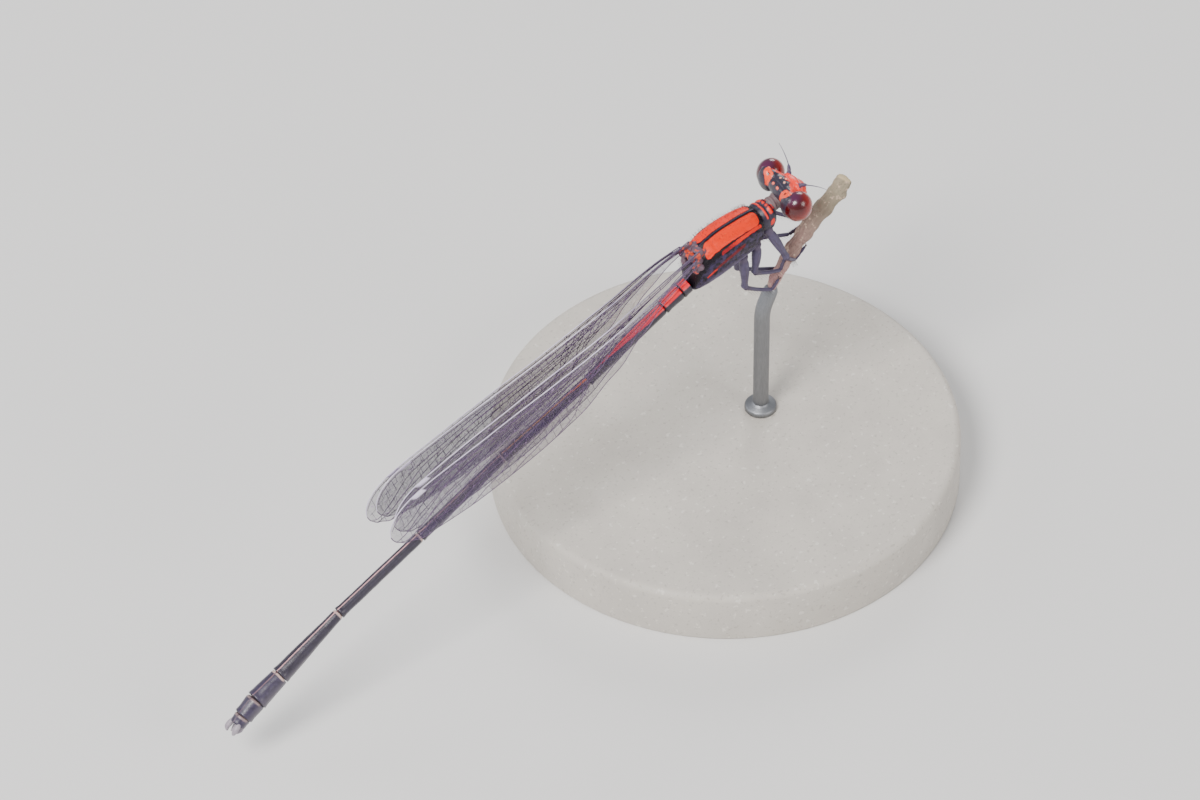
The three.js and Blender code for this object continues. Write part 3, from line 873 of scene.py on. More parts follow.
def add_claspers(skin, start, along, up, length):
    def place(back, side, rise):
        return start - along * back + LEFT * side + up * rise

    for side in (1, -1):
        upper = [place(0.2, side * 0.2, 0.16), place(length + 0.05, side * 0.26, 0.22),
                 place(length + 0.3, side * 0.28, 0.2), place(length + 0.5, side * 0.22, 0.08)]
        lower = [place(0.2, side * 0.16, -0.16), place(length + 0.12, side * 0.2, -0.22),
                 place(length + 0.42, side * 0.13, -0.1)]
        upper_radii = [[0, 0.1], [0.4, 0.15], [0.7, 0.14], [1, 0.05]]
        lower_radii = [[0, 0.1], [0.5, 0.13], [1, 0.04]]
        for points, radii in ((upper, upper_radii), (lower, lower_radii)):
            prong = rolled(limb_rings(route(points), radii, 24, 20))
            added(skin, mesh_from(prong, "prong"), 1)


# Perch: a crooked, bitten-off leaf stalk, from its broken lower tip up to the cut.
STALK = route([
    (2.96, 0, -4.87),
    (3.3, 0, -4.22),
    (3.87, 0, -3.46),
    (4.85, 0, -2.5),
    (5.63, 0, -1.76),
    (6.65, 0, -1.1),
    (7.35, 0, -0.64),
    (7.76, 0, -0.04),
])
STALK_LENGTH = STALK[-1][0]
STALK_RADII = [[0, 0.25], [0.12, 0.29], [0.45, 0.41], [0.75, 0.45], [1, 0.39]]
# Leaf scars: share of the length, turn round it and height.
SCARS = [
    (0.16, 1.2, 0.07),
    (0.4, 4.0, 0.08),
    (0.63, 0.6, 0.09),
    (0.66, 3.3, 0.07),
    (0.88, 5.2, 0.08),
]


def stalk_finish():
    skin = Finish("leaf_stalk_bark")
    reach = skin.attribute("fore")
    streaks = skin.noise(5.0, 4, 0.6, (0.35, 2.2, 0.5))
    colour = skin.mix(streaks, tint(104, 80, 76), tint(182, 150, 138))
    pink = 1 - skin.above(reach, 1.4, 1.0)
    colour = skin.mix(pink * 0.6, colour, tint(214, 160, 158))
    green = skin.above(reach, 4.4, 1.6)
    colour = skin.mix(green * 0.55, colour, tint(146, 148, 120))
    scabs = skin.above(skin.noise(3.4, 3, 0.6), 0.6, 0.03)
    colour = skin.mix(scabs * 0.7, colour, tint(206, 180, 158))
    pits = 1 - skin.above(skin.cells(7.0), 0.16, 0.06)
    colour = skin.mix(pits * 0.6, colour, tint(70, 50, 48))
    ends = 1 - skin.above(skin.least(reach, skin.attribute("aft")), 0.07, 0.03)
    colour = skin.mix(ends * 0.8, colour, tint(210, 190, 150))
    normal = skin.bump(streaks + skin.noise(16.0, 4) * 0.6, 0.05, 0.7)
    return skin.surface(colour, 0.72 + streaks * 0.2, normal, Specular_IOR_Level=0.3)


def make_stalk(steps=150, sides=72):
    rings = []
    for step in range(steps + 1):
        share = step / steps
        distance = share * STALK_LENGTH
        along = heading(STALK, distance)
        up = LEFT.cross(along).normalized()
        shut = opened(min(distance, STALK_LENGTH - distance), 0.1)
        radius = read(STALK_RADII, share)[0] * shut
        centre = spot_on(STALK, distance)
        ring = section(centre, LEFT, up, radius, radius, radius, 2, sides)
        for k, point in enumerate(ring):
            turn = k / sides * math.tau
            out = (point - centre).normalized() if shut > 0 else along
            lump = 0.045 * math.sin(share * 41 + 0.6) * math.sin(turn * 2 + share * 9)
            lump += 0.03 * math.cos(turn * 3 + share * 4)
            lump += 0.05 * noise.noise(point * 1.6) + 0.022 * noise.noise(point * 6.0)
            lump += 0.012 * math.cos(turn * 11 + 5 * noise.noise(point * 0.8))
            for place, side, size in SCARS:
                bend = abs((turn - side + math.pi) % math.tau - math.pi)
                lump += size * bell(share - place, 0.022) * bell(bend, 0.7)
                lump -= 0.6 * size * bell(share - place - 0.035, 0.014) * bell(bend, 0.8)
            point += out * lump * shut
        rings.append(ring)
    settle("perch_stalk_bark", rolled(rings), [stalk_finish()], ["perch_stalk"])


# A place beside the stalk: along it from its tip, turned about it from its upper side towards the
# insect's right, and lifted off its surface.
def beside_stalk(distance, turn, lift):
    along = heading(STALK, distance)
    above = Vector((-along.z, 0, along.x))
    angle = math.radians(turn)
    reach = read(STALK_RADII, distance / STALK_LENGTH)[0] + lift
    aside = above * math.cos(angle) * reach - LEFT * math.sin(angle) * reach
    return spot_on(STALK, distance) + aside


# Legs: hip, knee, then ankle and toe as places beside the stalk, each its distance and turn.
LEGS = {
    "front_right": ((2.1, -0.35, 0.3), (3.1, -0.98, -2.1), (1.9, 170), (2.8, 150)),
    "middle_right": ((1.45, -0.4, -0.3), (1.3, -0.55, -2.35), (1.25, 38), (1.95, 20)),
    "hind_right": ((0.55, -0.4, -0.6), (0.72, -0.5, -3.05), (0.15, 42), (0.75, 60)),
    "front_left": ((2.1, 0.35, 0.3), (3.9, 1.15, -0.95), (3.75, -62), (4.5, -35)),
    "middle_left": ((1.45, 0.4, -0.3), (3.1, 0.9, -2.05), (2.85, -75), (3.5, -110)),
    "hind_left": ((0.55, 0.4, -0.6), (1.6, 1.0, -3.4), (0.95, -128), (1.45, -178)),
}
THIGH_RADII = [
    [0, 0.3], [0.1, 0.3], [0.2, 0.22], [0.25, 0.25], [0.5, 0.24], [0.85, 0.17], [0.95, 0.2],
    [1, 0.19],
]
SHIN_RADII = [[0, 0.16], [0.08, 0.13], [0.3, 0.105], [0.9, 0.1], [1, 0.095]]
FOOT_RADII = [
    [0, 0.11], [0.26, 0.085], [0.3, 0.1], [0.55, 0.075], [0.6, 0.09], [0.94, 0.065], [1, 0.05],
]


def leg_finish():
    skin = Finish("leg_cuticle")
    reach = skin.attribute("fore")
    blotch = skin.noise(3.4, 4)
    colour = skin.mix(blotch, tint(52, 44, 70), tint(100, 90, 122))
    thin = skin.above(skin.cells(13.0), 0.3, 0.1)
    colour = skin.mix(thin * 0.25, colour, tint(48, 42, 62))
    base = 1 - skin.above(reach, 0.5, 0.15)
    colour = skin.mix(base * 0.4, colour, tint(80, 62, 78))
    normal = skin.bump(skin.noise(20.0, 3) + skin.cells(16.0) * 0.5, 0.015, 0.6)
    return skin.surface(colour, 0.42 + skin.noise(9.0) * 0.2, normal, Specular_IOR_Level=0.45)


def leg_places(name):
    hip, knee, ankle, foot = LEGS[name]
    hip, knee = Vector(hip), Vector(knee)
    side = math.copysign(1, hip.y)
    trochanter = hip.lerp(knee, 0.22) + LEFT * side * 0.14
    thigh = [hip, trochanter, trochanter.lerp(knee, 0.5) + LEFT * side * 0.05, knee]
    heel = beside_stalk(ankle[0], ankle[1], 0.2)
    toe = beside_stalk(foot[0], foot[1], 0.1)
    step = beside_stalk(lerp(ankle[0], foot[0], 0.5), lerp(ankle[1], foot[1], 0.5), 0.14)
    bow = knee.lerp(heel, 0.5) + (knee - hip).normalized() * 0.06
    return route(thigh), route([knee, bow, heel]), route([heel, step, toe])


def make_leg(name, finish, dark):
    thigh, shin, foot = leg_places(name)
    parts = ((thigh, THIGH_RADII, 60), (shin, SHIN_RADII, 40), (foot, FOOT_RADII, 34))
    whole = bmesh.new()
    for path, radii, steps in parts:
        added(whole, mesh_from(rolled(limb_rings(path, radii, steps, 20)), "part"))
    toe = spot_on(foot, foot[-1][0])
    ahead = heading(foot, foot[-1][0])
    core = [spot_on(STALK, tenth * 0.1) for tenth in range(int(STALK_LENGTH * 10))]
    nearest = min(core, key=lambda place: (place - toe).length)
    inward = (nearest - toe).normalized()
    out = ahead.cross(inward).normalized()
    claws = []
    for side in (1, -1):
        tip = toe + ahead * 0.12 + out * 0.09 * side + inward * 0.1
        middle = toe + ahead * 0.1 + out * 0.07 * side
        claws.append([(toe, 0.04), (middle, 0.03), (tip, 0.008)])
    added(whole, strands(claws, 1), 1)
    settle(f"leg_{name}_skin", whole, [finish, dark], [f"leg_{name}"])


# Wings, closed on edge over the body. Edges are heights above and below the wing's axis.
WING_PITCH = math.radians(16.6)
WING_AXIS = Vector((-math.cos(WING_PITCH), 0, -math.sin(WING_PITCH)))
WING_RISE = Vector((-math.sin(WING_PITCH), 0, math.cos(WING_PITCH)))
LEADING_EDGE = [
    [0, 0.2], [0.08, 0.24], [0.2, 0.27], [0.35, 0.36], [0.6, 0.85], [0.86, 1.32], [1, 1.22],
]
TRAILING_EDGE = [
    [0, 0.2], [0.1, 0.3], [0.16, 0.7], [0.36, 2.45], [0.55, 2.98], [0.75, 2.75], [0.9, 2.1],
    [1, 1.6],
]
TIP_HEIGHT = (LEADING_EDGE[-1][1] - TRAILING_EDGE[-1][1]) / 2
# Each pair's root, length, the share of it where the film starts, and its distance out from the
# middle of the body.
FOREWING = {
    "root": (-1.45, 1.3), "length": 21.6, "start": 0.034,
    "spread": [[0, 0.42], [0.2, 0.5], [0.36, 0.54], [0.9, 0.68], [1, 0.7]],
}
HINDWING = {
    "root": (-2.3, 0.9), "length": 21.2, "start": 0.012,
    "spread": [[0, 0.62], [0.09, 0.84], [0.36, 0.96], [0.9, 0.96], [1, 0.94]],
}
# Long veins below the front one: where each leaves it, where it meets the margin, how low it
# starts and how late it turns down.
LONG_VEINS = [
    (0.13, 1.0, 0.1, 9.0),
    (0.16, 0.985, 0.2, 6.0),
    (0.2, 0.95, 0.3, 4.5),
    (0.24, 0.88, 0.42, 3.5),
    (0.28, 0.78, 0.55, 3.0),
    (0.31, 0.66, 0.7, 2.6),
    (0.34, 0.52, 0.84, 2.3),
]
# Shares of the wing's length: the nodus, the wing spot, painted pale as a reflection of light, and
# the start of the rounded tip.
NODUS = 0.36
STIGMA = (0.872, 0.906)
TIP_START = 0.9


def tip_round(share):
    return math.sqrt(max(1 - clamp((share - TIP_START) / (1 - TIP_START)) ** 2.4, 0))


def edges_at(share):
    lead = read(LEADING_EDGE, share)[0]
    trail = read(TRAILING_EDGE, share)[0]
    if share > TIP_START:
        close = tip_round(share)
        lead = TIP_HEIGHT + (lead - TIP_HEIGHT) * close
        trail = -TIP_HEIGHT + (trail + TIP_HEIGHT) * close
    return lead, -trail


# The height of a vein, where 0 is the radius vein just under the front edge and 1 is the margin.
def chord(share, level):
    lead, trail = edges_at(share)
    radius = lead - min(0.27, 0.3 * (lead - trail))
    return lerp(radius, trail, level)


def vein_level(vein, share):
    start, end, low, late = vein
    run = clamp((share - start) / (end - start))
    return lerp(low * ease((share - start) / 0.12), 1.0, run**late)


# A place on a wing, whose film is pleated along its veins and sways a little in and out.
def wing_place(wing, side, share, height, lift=0.0):
    level = clamp((edges_at(share)[0] - height) / 3.5)
    fold = 0.05 * math.sin(level * 22.0) * ease(share / 0.2) * tip_round(share)
    sway = 0.05 * noise.noise(Vector((share * 7.0, height * 0.6, side + wing["root"][0])))
    out = read(wing["spread"], share)[0] + (fold + sway * ease(share / 0.2) + lift)
    root_x, root_z = wing["root"]
    along = WING_AXIS * (share * wing["length"])
    return Vector((root_x, 0, root_z)) + along + WING_RISE * height + LEFT * side * out


FILM_CELL = 2.3
FILM_STRETCH = (1.0, 0.25, 1.35)


# Smoky film, with a grey of its own in each small cell between the veins.
def film_finish():
    skin = Finish("wing_film")
    smoke = skin.noise(0.9, 3)
    cell = skin.cells(FILM_CELL, "F1", FILM_STRETCH, "Color")
    colour = skin.mix(smoke, tint(48, 30, 66), tint(82, 58, 106))
    colour = skin.mix(cell * 0.5, colour, tint(62, 36, 78))
    # Painted glints: small pale violet patches where light reflects from the film, which also make
    # the film less clear there.
    painted_glint = skin.above(skin.noise(4.2, 3, 0.7), 0.66, 0.03)
    colour = skin.mix(painted_glint * 0.75, colour, tint(196, 158, 206))
    edge = skin.cells(FILM_CELL, "DISTANCE_TO_EDGE", FILM_STRETCH)
    lines = 1 - skin.above(edge, 0.03, 0.015)
    colour = skin.mix(lines * 0.6, colour, tint(40, 26, 44))
    outer = skin.rise(0 - skin.x, 8.0, 15.0)
    cover = 0.2 + smoke * 0.22 + painted_glint * 0.3 + lines * 0.16 + outer * 0.12
    normal = skin.bump(skin.noise(3.0, 3) + edge * 0.8, 0.05, 0.8)
    return skin.surface(
        colour, 0.24 + smoke * 0.2, normal, Alpha=cover, Specular_IOR_Level=0.5,
        Coat_Weight=0.4, Coat_Roughness=0.12,
    )


def front_vein_painted_reflection_finish():
    skin = Finish("front_vein_painted_reflection")
    # Painted reflection: the front vein is painted near-white where light reflects from it, and
    # dark towards the root.
    colour = skin.mix(skin.noise(3.0, 2), tint(240, 232, 246), tint(190, 176, 210))
    colour = skin.mix(skin.rise(skin.x, -9.5, -4.5), colour, tint(92, 78, 104))
    normal = skin.bump(skin.noise(14.0), 0.01, 0.4)
    return skin.surface(colour, 0.26 + skin.noise(8.0) * 0.14, normal, Coat_Weight=0.3)


def dark_vein_finish():
    skin = Finish("violet_vein")
    colour = skin.mix(skin.noise(2.0, 3), tint(58, 40, 62), tint(128, 104, 140))
    normal = skin.bump(skin.noise(14.0), 0.01, 0.4)
    return skin.surface(colour, 0.3 + skin.noise(8.0) * 0.2, normal)


def stigma_painted_reflection_finish():
    skin = Finish("wing_spot_painted_reflection")
    # Painted reflection: the wing spot is painted near-white, where light reflects from it.
    colour = skin.mix(skin.noise(5.0, 3), tint(236, 228, 244), tint(196, 184, 216))
    normal = skin.bump(skin.cells(12.0), 0.015, 0.5)
    return skin.surface(colour, 0.3 + skin.noise(9.0) * 0.12, normal, Coat_Weight=0.3)


# One sheet without thickness: the film itself, which solid veins frame.
def film_mesh(wing, side, lengthwise=120, across=30):
    shape = bmesh.new()
    bmesh.ops.create_grid(shape, x_segments=lengthwise, y_segments=across, size=0.5)
    for vert in shape.verts:
        share = lerp(wing["start"], 1.0, math.sin((vert.co.x + 0.5) * math.pi / 2) ** 1.1)
        lead, trail = edges_at(share)
        vert.co = wing_place(wing, side, share, lerp(lead, trail, vert.co.y + 0.5))
    bmesh.ops.remove_doubles(shape, verts=shape.verts, dist=1e-5)
    bmesh.ops.recalc_face_normals(shape, faces=shape.faces)
    middle = shape.faces[len(shape.faces) // 2]
    if middle.normal.y * side < 0:
        bmesh.ops.reverse_faces(shape, faces=shape.faces)
    return mesh_from(shape, "film")


# Shares between two ends, closer together towards the wing's tip.
def spaced(start, end, count):
    turns = [i / count * math.pi / 2 for i in range(count + 1)]
    return [start + (end - start) * math.sin(turn) for turn in turns]


# The long veins of one wing: the front one, painted bright as a reflection of light, then the dark
# ones.
def long_paths(wing, side):
    def line(shares, height_at, root_radius, tip_radius):
        return [
            (wing_place(wing, side, share, height_at(share)), lerp(root_radius, tip_radius, share))
            for share in shares
        ]

    def front(share):
        return edges_at(share)[0]

    def margin(share):
        return edges_at(share)[1]

    def radius_vein(share):
        return chord(share, 0.0)

    def below_front(share):
        return lerp(front(share), radius_vein(share), 0.5 - 0.4 * ease((share - 0.28) / 0.08))

    first = wing["start"]
    whole = spaced(first, 1.0, 110)
    painted_bright_front_vein = [line(whole, front, 0.034, 0.024)]
    dark = [
        line(whole, margin, 0.024, 0.024),
        line(spaced(first + 0.02, NODUS, 24), below_front, 0.022, 0.022),
        line(spaced(first, 0.992, 100), radius_vein, 0.028, 0.02),
    ]
    for vein in LONG_VEINS:
        shares = spaced(vein[0], min(vein[1], 0.99), 70)
        dark.append(line(shares, lambda share: chord(share, vein_level(vein, share)), 0.021, 0.021))
    return painted_bright_front_vein, dark


# The short veins: bars behind the front edge, then bars between each two long veins, in two rows
# with a link where the space is wide.
LAST_BAR = 0.985
WIDE_CELL = 0.75


def cross_paths(wing, side, seed):
    pick = random.Random(seed)
    paths = []

    def bar(share, high, low, radius, slant=0.0):
        start = wing_place(wing, side, share, high)
        end = wing_place(wing, side, clamp(share + slant), low)
        if (start - end).length > 0.04:
            paths.append([(start, radius), (start.lerp(end, 0.5), radius * 0.8), (end, radius)])

    share = 0.1
    while share < LAST_BAR:
        at_spot = STIGMA[0] - 0.01 < share < STIGMA[1] + 0.01
        before_nodus = 0.28 < share < NODUS - 0.01
        if not at_spot and not before_nodus:
            bar(share, edges_at(share)[0], chord(share, 0.0), 0.016)
        share += pick.uniform(0.026, 0.034)
    bar(NODUS, edges_at(NODUS)[0], chord(NODUS, 0.0), 0.04)
    count = len(LONG_VEINS)
    for k in range(-1, count):
        first = 0.15 if k < 0 else LONG_VEINS[k][0] + 0.05
        last = LAST_BAR if k < 0 else min(LONG_VEINS[k][1] - 0.01, LAST_BAR)
        share = first + pick.uniform(0, 0.02)
        while share < last:
            upper = 0.0 if k < 0 else vein_level(LONG_VEINS[k], share)
            lower = 1.0
            if k + 1 < count and LONG_VEINS[k + 1][0] < share < LONG_VEINS[k + 1][1] - 0.005:
                lower = vein_level(LONG_VEINS[k + 1], share)
            high, low = chord(share, upper), chord(share, lower)
            if high - low > WIDE_CELL:
                middle = lerp(high, low, pick.uniform(0.4, 0.6))
                bar(share, high, middle, 0.013, pick.uniform(-0.004, 0.004))
                bar(share + 0.014, middle, low, 0.012, pick.uniform(-0.004, 0.004))
                start = wing_place(wing, side, share, middle)
                ahead = wing_place(wing, side, clamp(share + 0.02), middle - 0.03)
                paths.append([(start, 0.012), (ahead, 0.012)])
            else:
                bar(share, high, low, 0.013, pick.uniform(-0.006, 0.004))
            share += pick.uniform(0.02, 0.032)
    return paths


# The wing spot near the tip, a cushion on both faces of the film, painted pale as a reflection of
# light.
def add_stigma(whole, wing, side):
    pad = bmesh.new()
    bmesh.ops.create_cube(pad, size=1.0)
    bmesh.ops.subdivide_edges(pad, edges=pad.edges[:], cuts=3, use_grid_fill=True)
    for vert in pad.verts:
        a, b, c = vert.co
        share = lerp(STIGMA[0], STIGMA[1], a + 0.5) + 0.012 * (b + 0.5)
        height = lerp(chord(share, 0.0), edges_at(share)[0], b + 0.5)
        swell = 0.045 * (1 - (2 * a) ** 4 * 0.6) * (1 - (2 * b) ** 4 * 0.6)
        vert.co = wing_place(wing, side, share, height, 2 * c * swell)
    bmesh.ops.recalc_face_normals(pad, faces=pad.faces)
    added(whole, mesh_from(pad, "pad"), 3)


def make_wings():
    finishes = [film_finish(), front_vein_painted_reflection_finish(), dark_vein_finish(), stigma_painted_reflection_finish()]
    for kind, wing in (("forewing", FOREWING), ("hindwing", HINDWING)):
        for name, side in (("left", 1), ("right", -1)):
            whole = bmesh.new()
            added(whole, film_mesh(wing, side), 0)
            painted_bright_front_vein, dark = long_paths(wing, side)
            added(whole, strands(painted_bright_front_vein, 1), 1)
            added(whole, strands(dark), 2)
            added(whole, strands(cross_paths(wing, side, f"{kind} {name}")), 2)
            add_stigma(whole, wing, side)
            settle(f"{kind}_{name}_film", whole, finishes, [f"{kind}_{name}"])


# Hinge plates where the wing roots meet the thorax.
def hinge_finish():
    skin = Finish("hinge_plates")
    colour = skin.mix(skin.noise(4.0, 3), tint(62, 44, 58), tint(118, 92, 106))
    spots = skin.above(skin.noise(3.1, 1), 0.58, 0.03)
    colour = skin.mix(spots * 0.85, colour, tint(226, 74, 34))
    normal = skin.bump(skin.noise(16.0) + skin.cells(12.0) * 0.4, 0.02, 0.6)
    return skin.surface(colour, 0.4 + skin.noise(8.0) * 0.2, normal)


# Lobes at each wing root: ahead of it, share of its distance out, above it, then the half sizes.
HINGE_LOBES = [
    ((0.24, 0.84, -0.12), (0.22, 0.16, 0.17)),
    ((0.02, 1.0, -0.02), (0.2, 0.1, 0.2)),
    ((-0.24, 1.04, -0.08), (0.26, 0.07, 0.15)),
    ((0.1, 0.7, -0.28), (0.2, 0.18, 0.18)),
    ((-0.02, 0.92, -0.3), (0.15, 0.11, 0.14)),
]


def make_hinges():
    lobes = bmesh.new()
    ball(lobes, (-2.0, 0, 0.98), (0.34, 0.3, 0.12))
    ball(lobes, (-2.3, 0, 0.56), (0.26, 0.34, 0.22))
    for side in (1, -1):
        for wing in (FOREWING, HINDWING):
            root_x, root_z = wing["root"]
            start = wing["start"] * wing["length"]
            root_x += WING_AXIS.x * start
            root_z += WING_AXIS.z * start
            out = wing["spread"][0][1] * side
            for (ahead, spread, rise), radii in HINGE_LOBES:
                ball(lobes, (root_x + ahead, out * spread, root_z + rise), radii)
        ball(lobes, (-2.3, 0.6 * side, 0.34), (0.24, 0.2, 0.2))
        ball(lobes, (-2.46, 0.46 * side, 0.1), (0.18, 0.2, 0.2))
    skin = fused(lobes, 0.03, 4)
    settle("wing_hinges", skin, [hinge_finish()])


# Hair: short bristles. Each has a small patch of the OFBake map, at its root's place on the skin.
CHEST_BRISTLES = 1100
CHEST_GRID = 60
BRISTLE_TIP = 0.25
PATCH = 0.003


def hair_piece(name, roots, finish):
    shape = bmesh.new()
    baked = shape.loops.layers.uv.new("OFBake")
    for place, direction, length, radius, across, along in roots:
        turn = direction.to_track_quat("Z", "X").to_matrix().to_4x4()
        matrix = Matrix.Translation(place + direction * length * 0.46) @ turn
        made = bmesh.ops.create_cone(
            shape, cap_ends=True, segments=3, radius1=radius, radius2=radius * BRISTLE_TIP,
            depth=length, matrix=matrix,
        )
        aside = turn.col[0].xyz
        for vert in made["verts"]:
            step = vert.co - place
            height = step.dot(direction) / length
            ring = radius if height < 0.5 else radius * BRISTLE_TIP
            spread = step.dot(aside) / (2 * ring)
            for loop in vert.link_loops:
                loop[baked].uv = (across + PATCH * spread, along + PATCH * height)
    settle(name, shape, [finish])


def bristle_finish():
    skin = Finish("fine_bristle")
    colour = skin.mix(skin.noise(4.0), tint(44, 32, 36), tint(104, 86, 88))
    return skin.surface(colour, 0.4 + skin.noise(9.0) * 0.1)


def make_hair(finish):
    rings = thorax_rings(CHEST_GRID, CHEST_GRID)
    upper_half = [*range(0, 17), *range(43, 60)]
    roots = []
    for _ in range(CHEST_BRISTLES):
        j = chance.randrange(5, 56)
        i = chance.choice(upper_half)
        place = rings[j][i]
        middle = sum(rings[j], Vector()) / CHEST_GRID
        out = (place - middle).normalized()
        lean = Vector((-0.35 + chance.uniform(-0.3, 0.3), chance.uniform(-0.3, 0.3), 0.1))
        direction = (out + lean).normalized()
        length = chance.uniform(0.12, 0.28)
        across, along = (i + 0.5) / CHEST_GRID, (j + 0.5) / CHEST_GRID
        roots.append((place.copy(), direction, length, 0.006, across, along))
    hair_piece("thorax_bristles", roots, finish)
    roots = []
    for number, name in enumerate(LEGS):
        thigh, shin, foot = leg_places(name)
        rows = (
            (thigh, THIGH_RADII, 9, 0.26, 0.3),
            (shin, SHIN_RADII, 9, 0.46, 0.08),
            (foot, FOOT_RADII, 6, 0.12, 0.05),
        )
        for part, (path, radii, count, length, first) in enumerate(rows):
            for k in range(count):
                share = lerp(first, 0.97, k / (count - 1))
                along = heading(path, share * path[-1][0])
                aside = along.cross(LEFT).normalized()
                if aside.x > 0:
                    aside = -aside
                for side in (1, -1):
                    out = (aside * 0.4 + LEFT * side).normalized()
                    radius = read(radii, share)[0]
                    place = spot_on(path, share * path[-1][0]) + out * radius * 0.9
                    direction = (out + along * 0.75).normalized()
                    long = length * (1 - 0.35 * share) * chance.uniform(0.85, 1.1)
                    strip = (number * 3 + part + 0.5 + 0.25 * side) / (3 * len(LEGS))
                    roots.append((place, direction, long, 0.011, strip, share * 0.98))
    hair_piece("leg_bristles", roots, finish)


# Stand: a honed stone disc, and a rod that rises, bends and closes over the stalk's tip.
BASE_RADIUS = 12.0
BASE_HEIGHT = 3.0
BASE_EDGES = ((BASE_HEIGHT, 0.4, 6), (0.0, 0.12, 3))
ROD_RADIUS = 0.4
GRIP = 0.24
COLLAR_PROFILE = [(0.36, 0.0), (0.82, 0.0), (0.82, 0.2), (0.74, 0.3), (0.5, 0.34), (0.4, 0.46)]


def stone_finish():
    skin = Finish("honed_stone")
    cloud = skin.noise(0.35, 4)
    colour = skin.mix(cloud, tint(206, 200, 190), tint(178, 172, 164))
    specks = skin.above(skin.noise(5.0, 2), 0.64, 0.04)
    colour = skin.mix(specks * 0.35, colour, tint(140, 132, 124))
    pale = skin.above(skin.noise(3.0, 2), 0.66, 0.04)
    colour = skin.mix(pale * 0.4, colour, tint(232, 228, 220))
    normal = skin.bump(skin.noise(9.0, 4), 0.02, 0.4)
    return skin.surface(colour, 0.5 + cloud * 0.15, normal, Specular_IOR_Level=0.4)


def rod_finish():
    skin = Finish("brushed_rod")
    grain = skin.noise(7.0, 3, 0.6, (4.0, 4.0, 0.3))
    colour = skin.mix(grain, tint(116, 118, 122), tint(158, 160, 164))
    normal = skin.bump(grain, 0.01, 0.5)
    return skin.surface(colour, 0.42 + grain * 0.16, normal, Metallic=1.0)


def make_base():
    disc = bmesh.new()
    middle = Matrix.Translation((0, 0, BASE_HEIGHT / 2))
    bmesh.ops.create_cone(
        disc, cap_ends=True, segments=192, radius1=BASE_RADIUS, radius2=BASE_RADIUS,
        depth=BASE_HEIGHT, matrix=middle,
    )
    for height, size, segments in BASE_EDGES:
        rim = [e for e in disc.edges if all(abs(v.co.z - height) < 1e-4 for v in e.verts)]
        bmesh.ops.bevel(
            disc, geom=rim, offset=size, offset_type="OFFSET", affect="EDGES",
            segments=segments, profile=0.5, material=-1, clamp_overlap=True,
        )
    for face in [f for f in disc.faces if len(f.verts) > 8]:
        bmesh.ops.inset_individual(disc, faces=[face], thickness=0.3)
    settle("stand_base_stone", disc, [stone_finish()], ["stand_base"], 0.0)


def make_rod():
    tip = spot_on(STALK, 0)
    slope = heading(STALK, 0)
    bend = tip - slope * 1.3
    drop = Vector((bend.x, 0, bend.z - 0.7))
    join = tip - slope * 0.8
    foot = Vector((bend.x, 0, BASE_HEIGHT - BODY_HEIGHT + 0.02))
    places = [foot, foot.lerp(drop, 0.5), drop]
    for i in range(1, 7):
        t = i / 6
        places.append(drop * (1 - t) ** 2 + bend * 2 * t * (1 - t) + join * t**2)
    places.append(tip)
    places.append(tip + slope * GRIP)
    radii = [[0, ROD_RADIUS], [0.92, ROD_RADIUS], [1, ROD_RADIUS * 0.85]]
    rod = rolled(limb_rings(route(places), radii, 140, 40))
    collar = bmesh.new()
    points = [collar.verts.new((bend.x + out, 0, foot.z + up)) for out, up in COLLAR_PROFILE]
    line = [collar.edges.new(pair) for pair in zip(points, points[1:])]
    bmesh.ops.spin(
        collar, geom=points + line, cent=(bend.x, 0, 0), axis=(0, 0, 1), angle=math.tau,
        steps=64, use_merge=True, use_duplicate=False,
    )
    bmesh.ops.remove_doubles(collar, verts=collar.verts, dist=1e-4)
    bmesh.ops.recalc_face_normals(collar, faces=collar.faces)
    added(rod, mesh_from(collar, "collar"))
    settle("stand_rod_metal", rod, [rod_finish()], ["stand_rod"])


# Studio: a pale floor, soft lights and the photograph's view, all in metres. The camera looks from
# 45 degrees up and 40 degrees behind the insect's right side.
VIEW_ACROSS = 0.06
VIEW_CENTRE = Vector((-0.00841, -0.00009, 0.01052))
TO_CAMERA = Vector((-0.4545, -0.5417, 0.7071)).normalized()
LENS = 300.0
SENSOR = 36.0
BODY_SPOT = (0, 0, 0.012)
KEY_PLACE = (TO_CAMERA + Vector((-0.35, 0.35, 0.25))).normalized() * 0.42
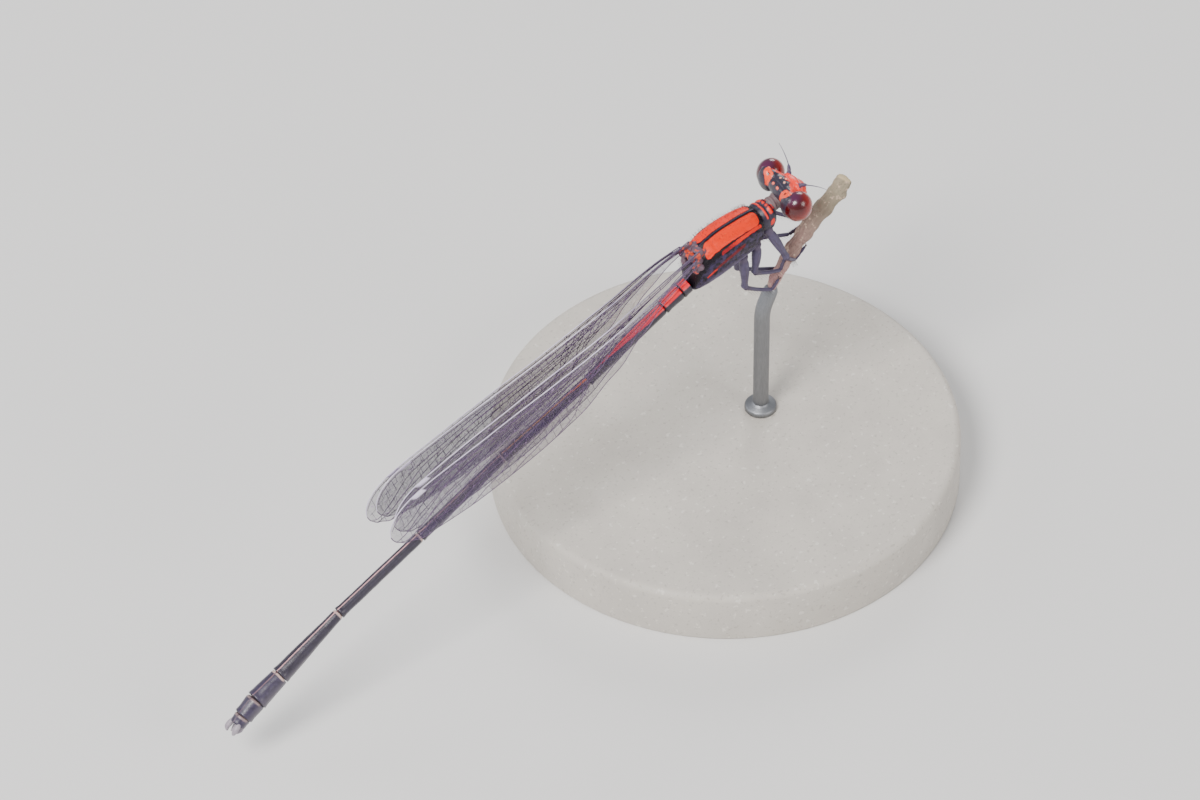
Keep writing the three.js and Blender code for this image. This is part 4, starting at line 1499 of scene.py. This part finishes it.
# Each light's place, size, power and colour. The key stands near the camera, as a flash does.
LIGHTS = {
    "key": (KEY_PLACE, 0.18, 2.2, (1.0, 0.98, 0.96)),
    "side": ((0.1, -0.36, 0.2), 0.2, 0.7, (1.0, 0.97, 0.94)),
    "fill": ((-0.3, 0.3, 0.2), 0.22, 0.5, (0.92, 0.95, 1.0)),
    "rim": ((0.28, 0.24, 0.2), 0.18, 0.7, (1.0, 1.0, 1.0)),
}


def make_floor():
    shape = bmesh.new()
    bmesh.ops.create_grid(shape, x_segments=8, y_segments=8, size=1.5)
    mesh = mesh_from(shape, "floor")
    floor = bpy.data.objects.new("floor", mesh)
    bpy.context.collection.objects.link(floor)
    skin = Finish("pale_floor")
    colour = skin.mix(skin.noise(0.02, 3), tint(226, 225, 223), tint(220, 219, 218))
    mesh.materials.append(skin.surface(colour, 0.7 + skin.noise(0.1) * 0.1))


def soft_light(name, place, size, power, colour):
    data = bpy.data.lights.new(name, "AREA")
    data.shape = "DISK"
    data.size = size
    data.energy = power
    data.color = colour
    lamp = bpy.data.objects.new(name, data)
    bpy.context.collection.objects.link(lamp)
    lamp.location = place
    aim = Vector(BODY_SPOT) - Vector(place)
    lamp.rotation_euler = aim.to_track_quat("-Z", "Y").to_euler()


def make_studio():
    make_floor()
    for name, light in LIGHTS.items():
        soft_light(name, *light)
    world = bpy.data.worlds.new("soft surround")
    world.use_nodes = True
    sky = world.node_tree.nodes["Background"]
    sky.inputs["Color"].default_value = (0.86, 0.88, 0.92, 1)
    sky.inputs["Strength"].default_value = 0.55
    bpy.context.scene.world = world
    data = bpy.data.cameras.new("photo view")
    data.lens = LENS
    data.sensor_width = SENSOR
    data.clip_start = 0.01
    data.clip_end = 10
    camera = bpy.data.objects.new("photo view", data)
    bpy.context.collection.objects.link(camera)
    camera.location = VIEW_CENTRE + TO_CAMERA * (VIEW_ACROSS * LENS / SENSOR)
    camera.rotation_euler = (-TO_CAMERA).to_track_quat("-Z", "Y").to_euler()
    bpy.context.scene.camera = camera


make_studio()
make_thorax()
make_saddle()
make_head()
make_neck()
make_abdomen()
make_stalk()
dark_cuticle = leg_finish()
bristle = bristle_finish()
make_feelers(dark_cuticle)
for leg_name in LEGS:
    make_leg(leg_name, dark_cuticle, bristle)
make_wings()
make_hinges()
make_hair(bristle)
make_base()
make_rod()
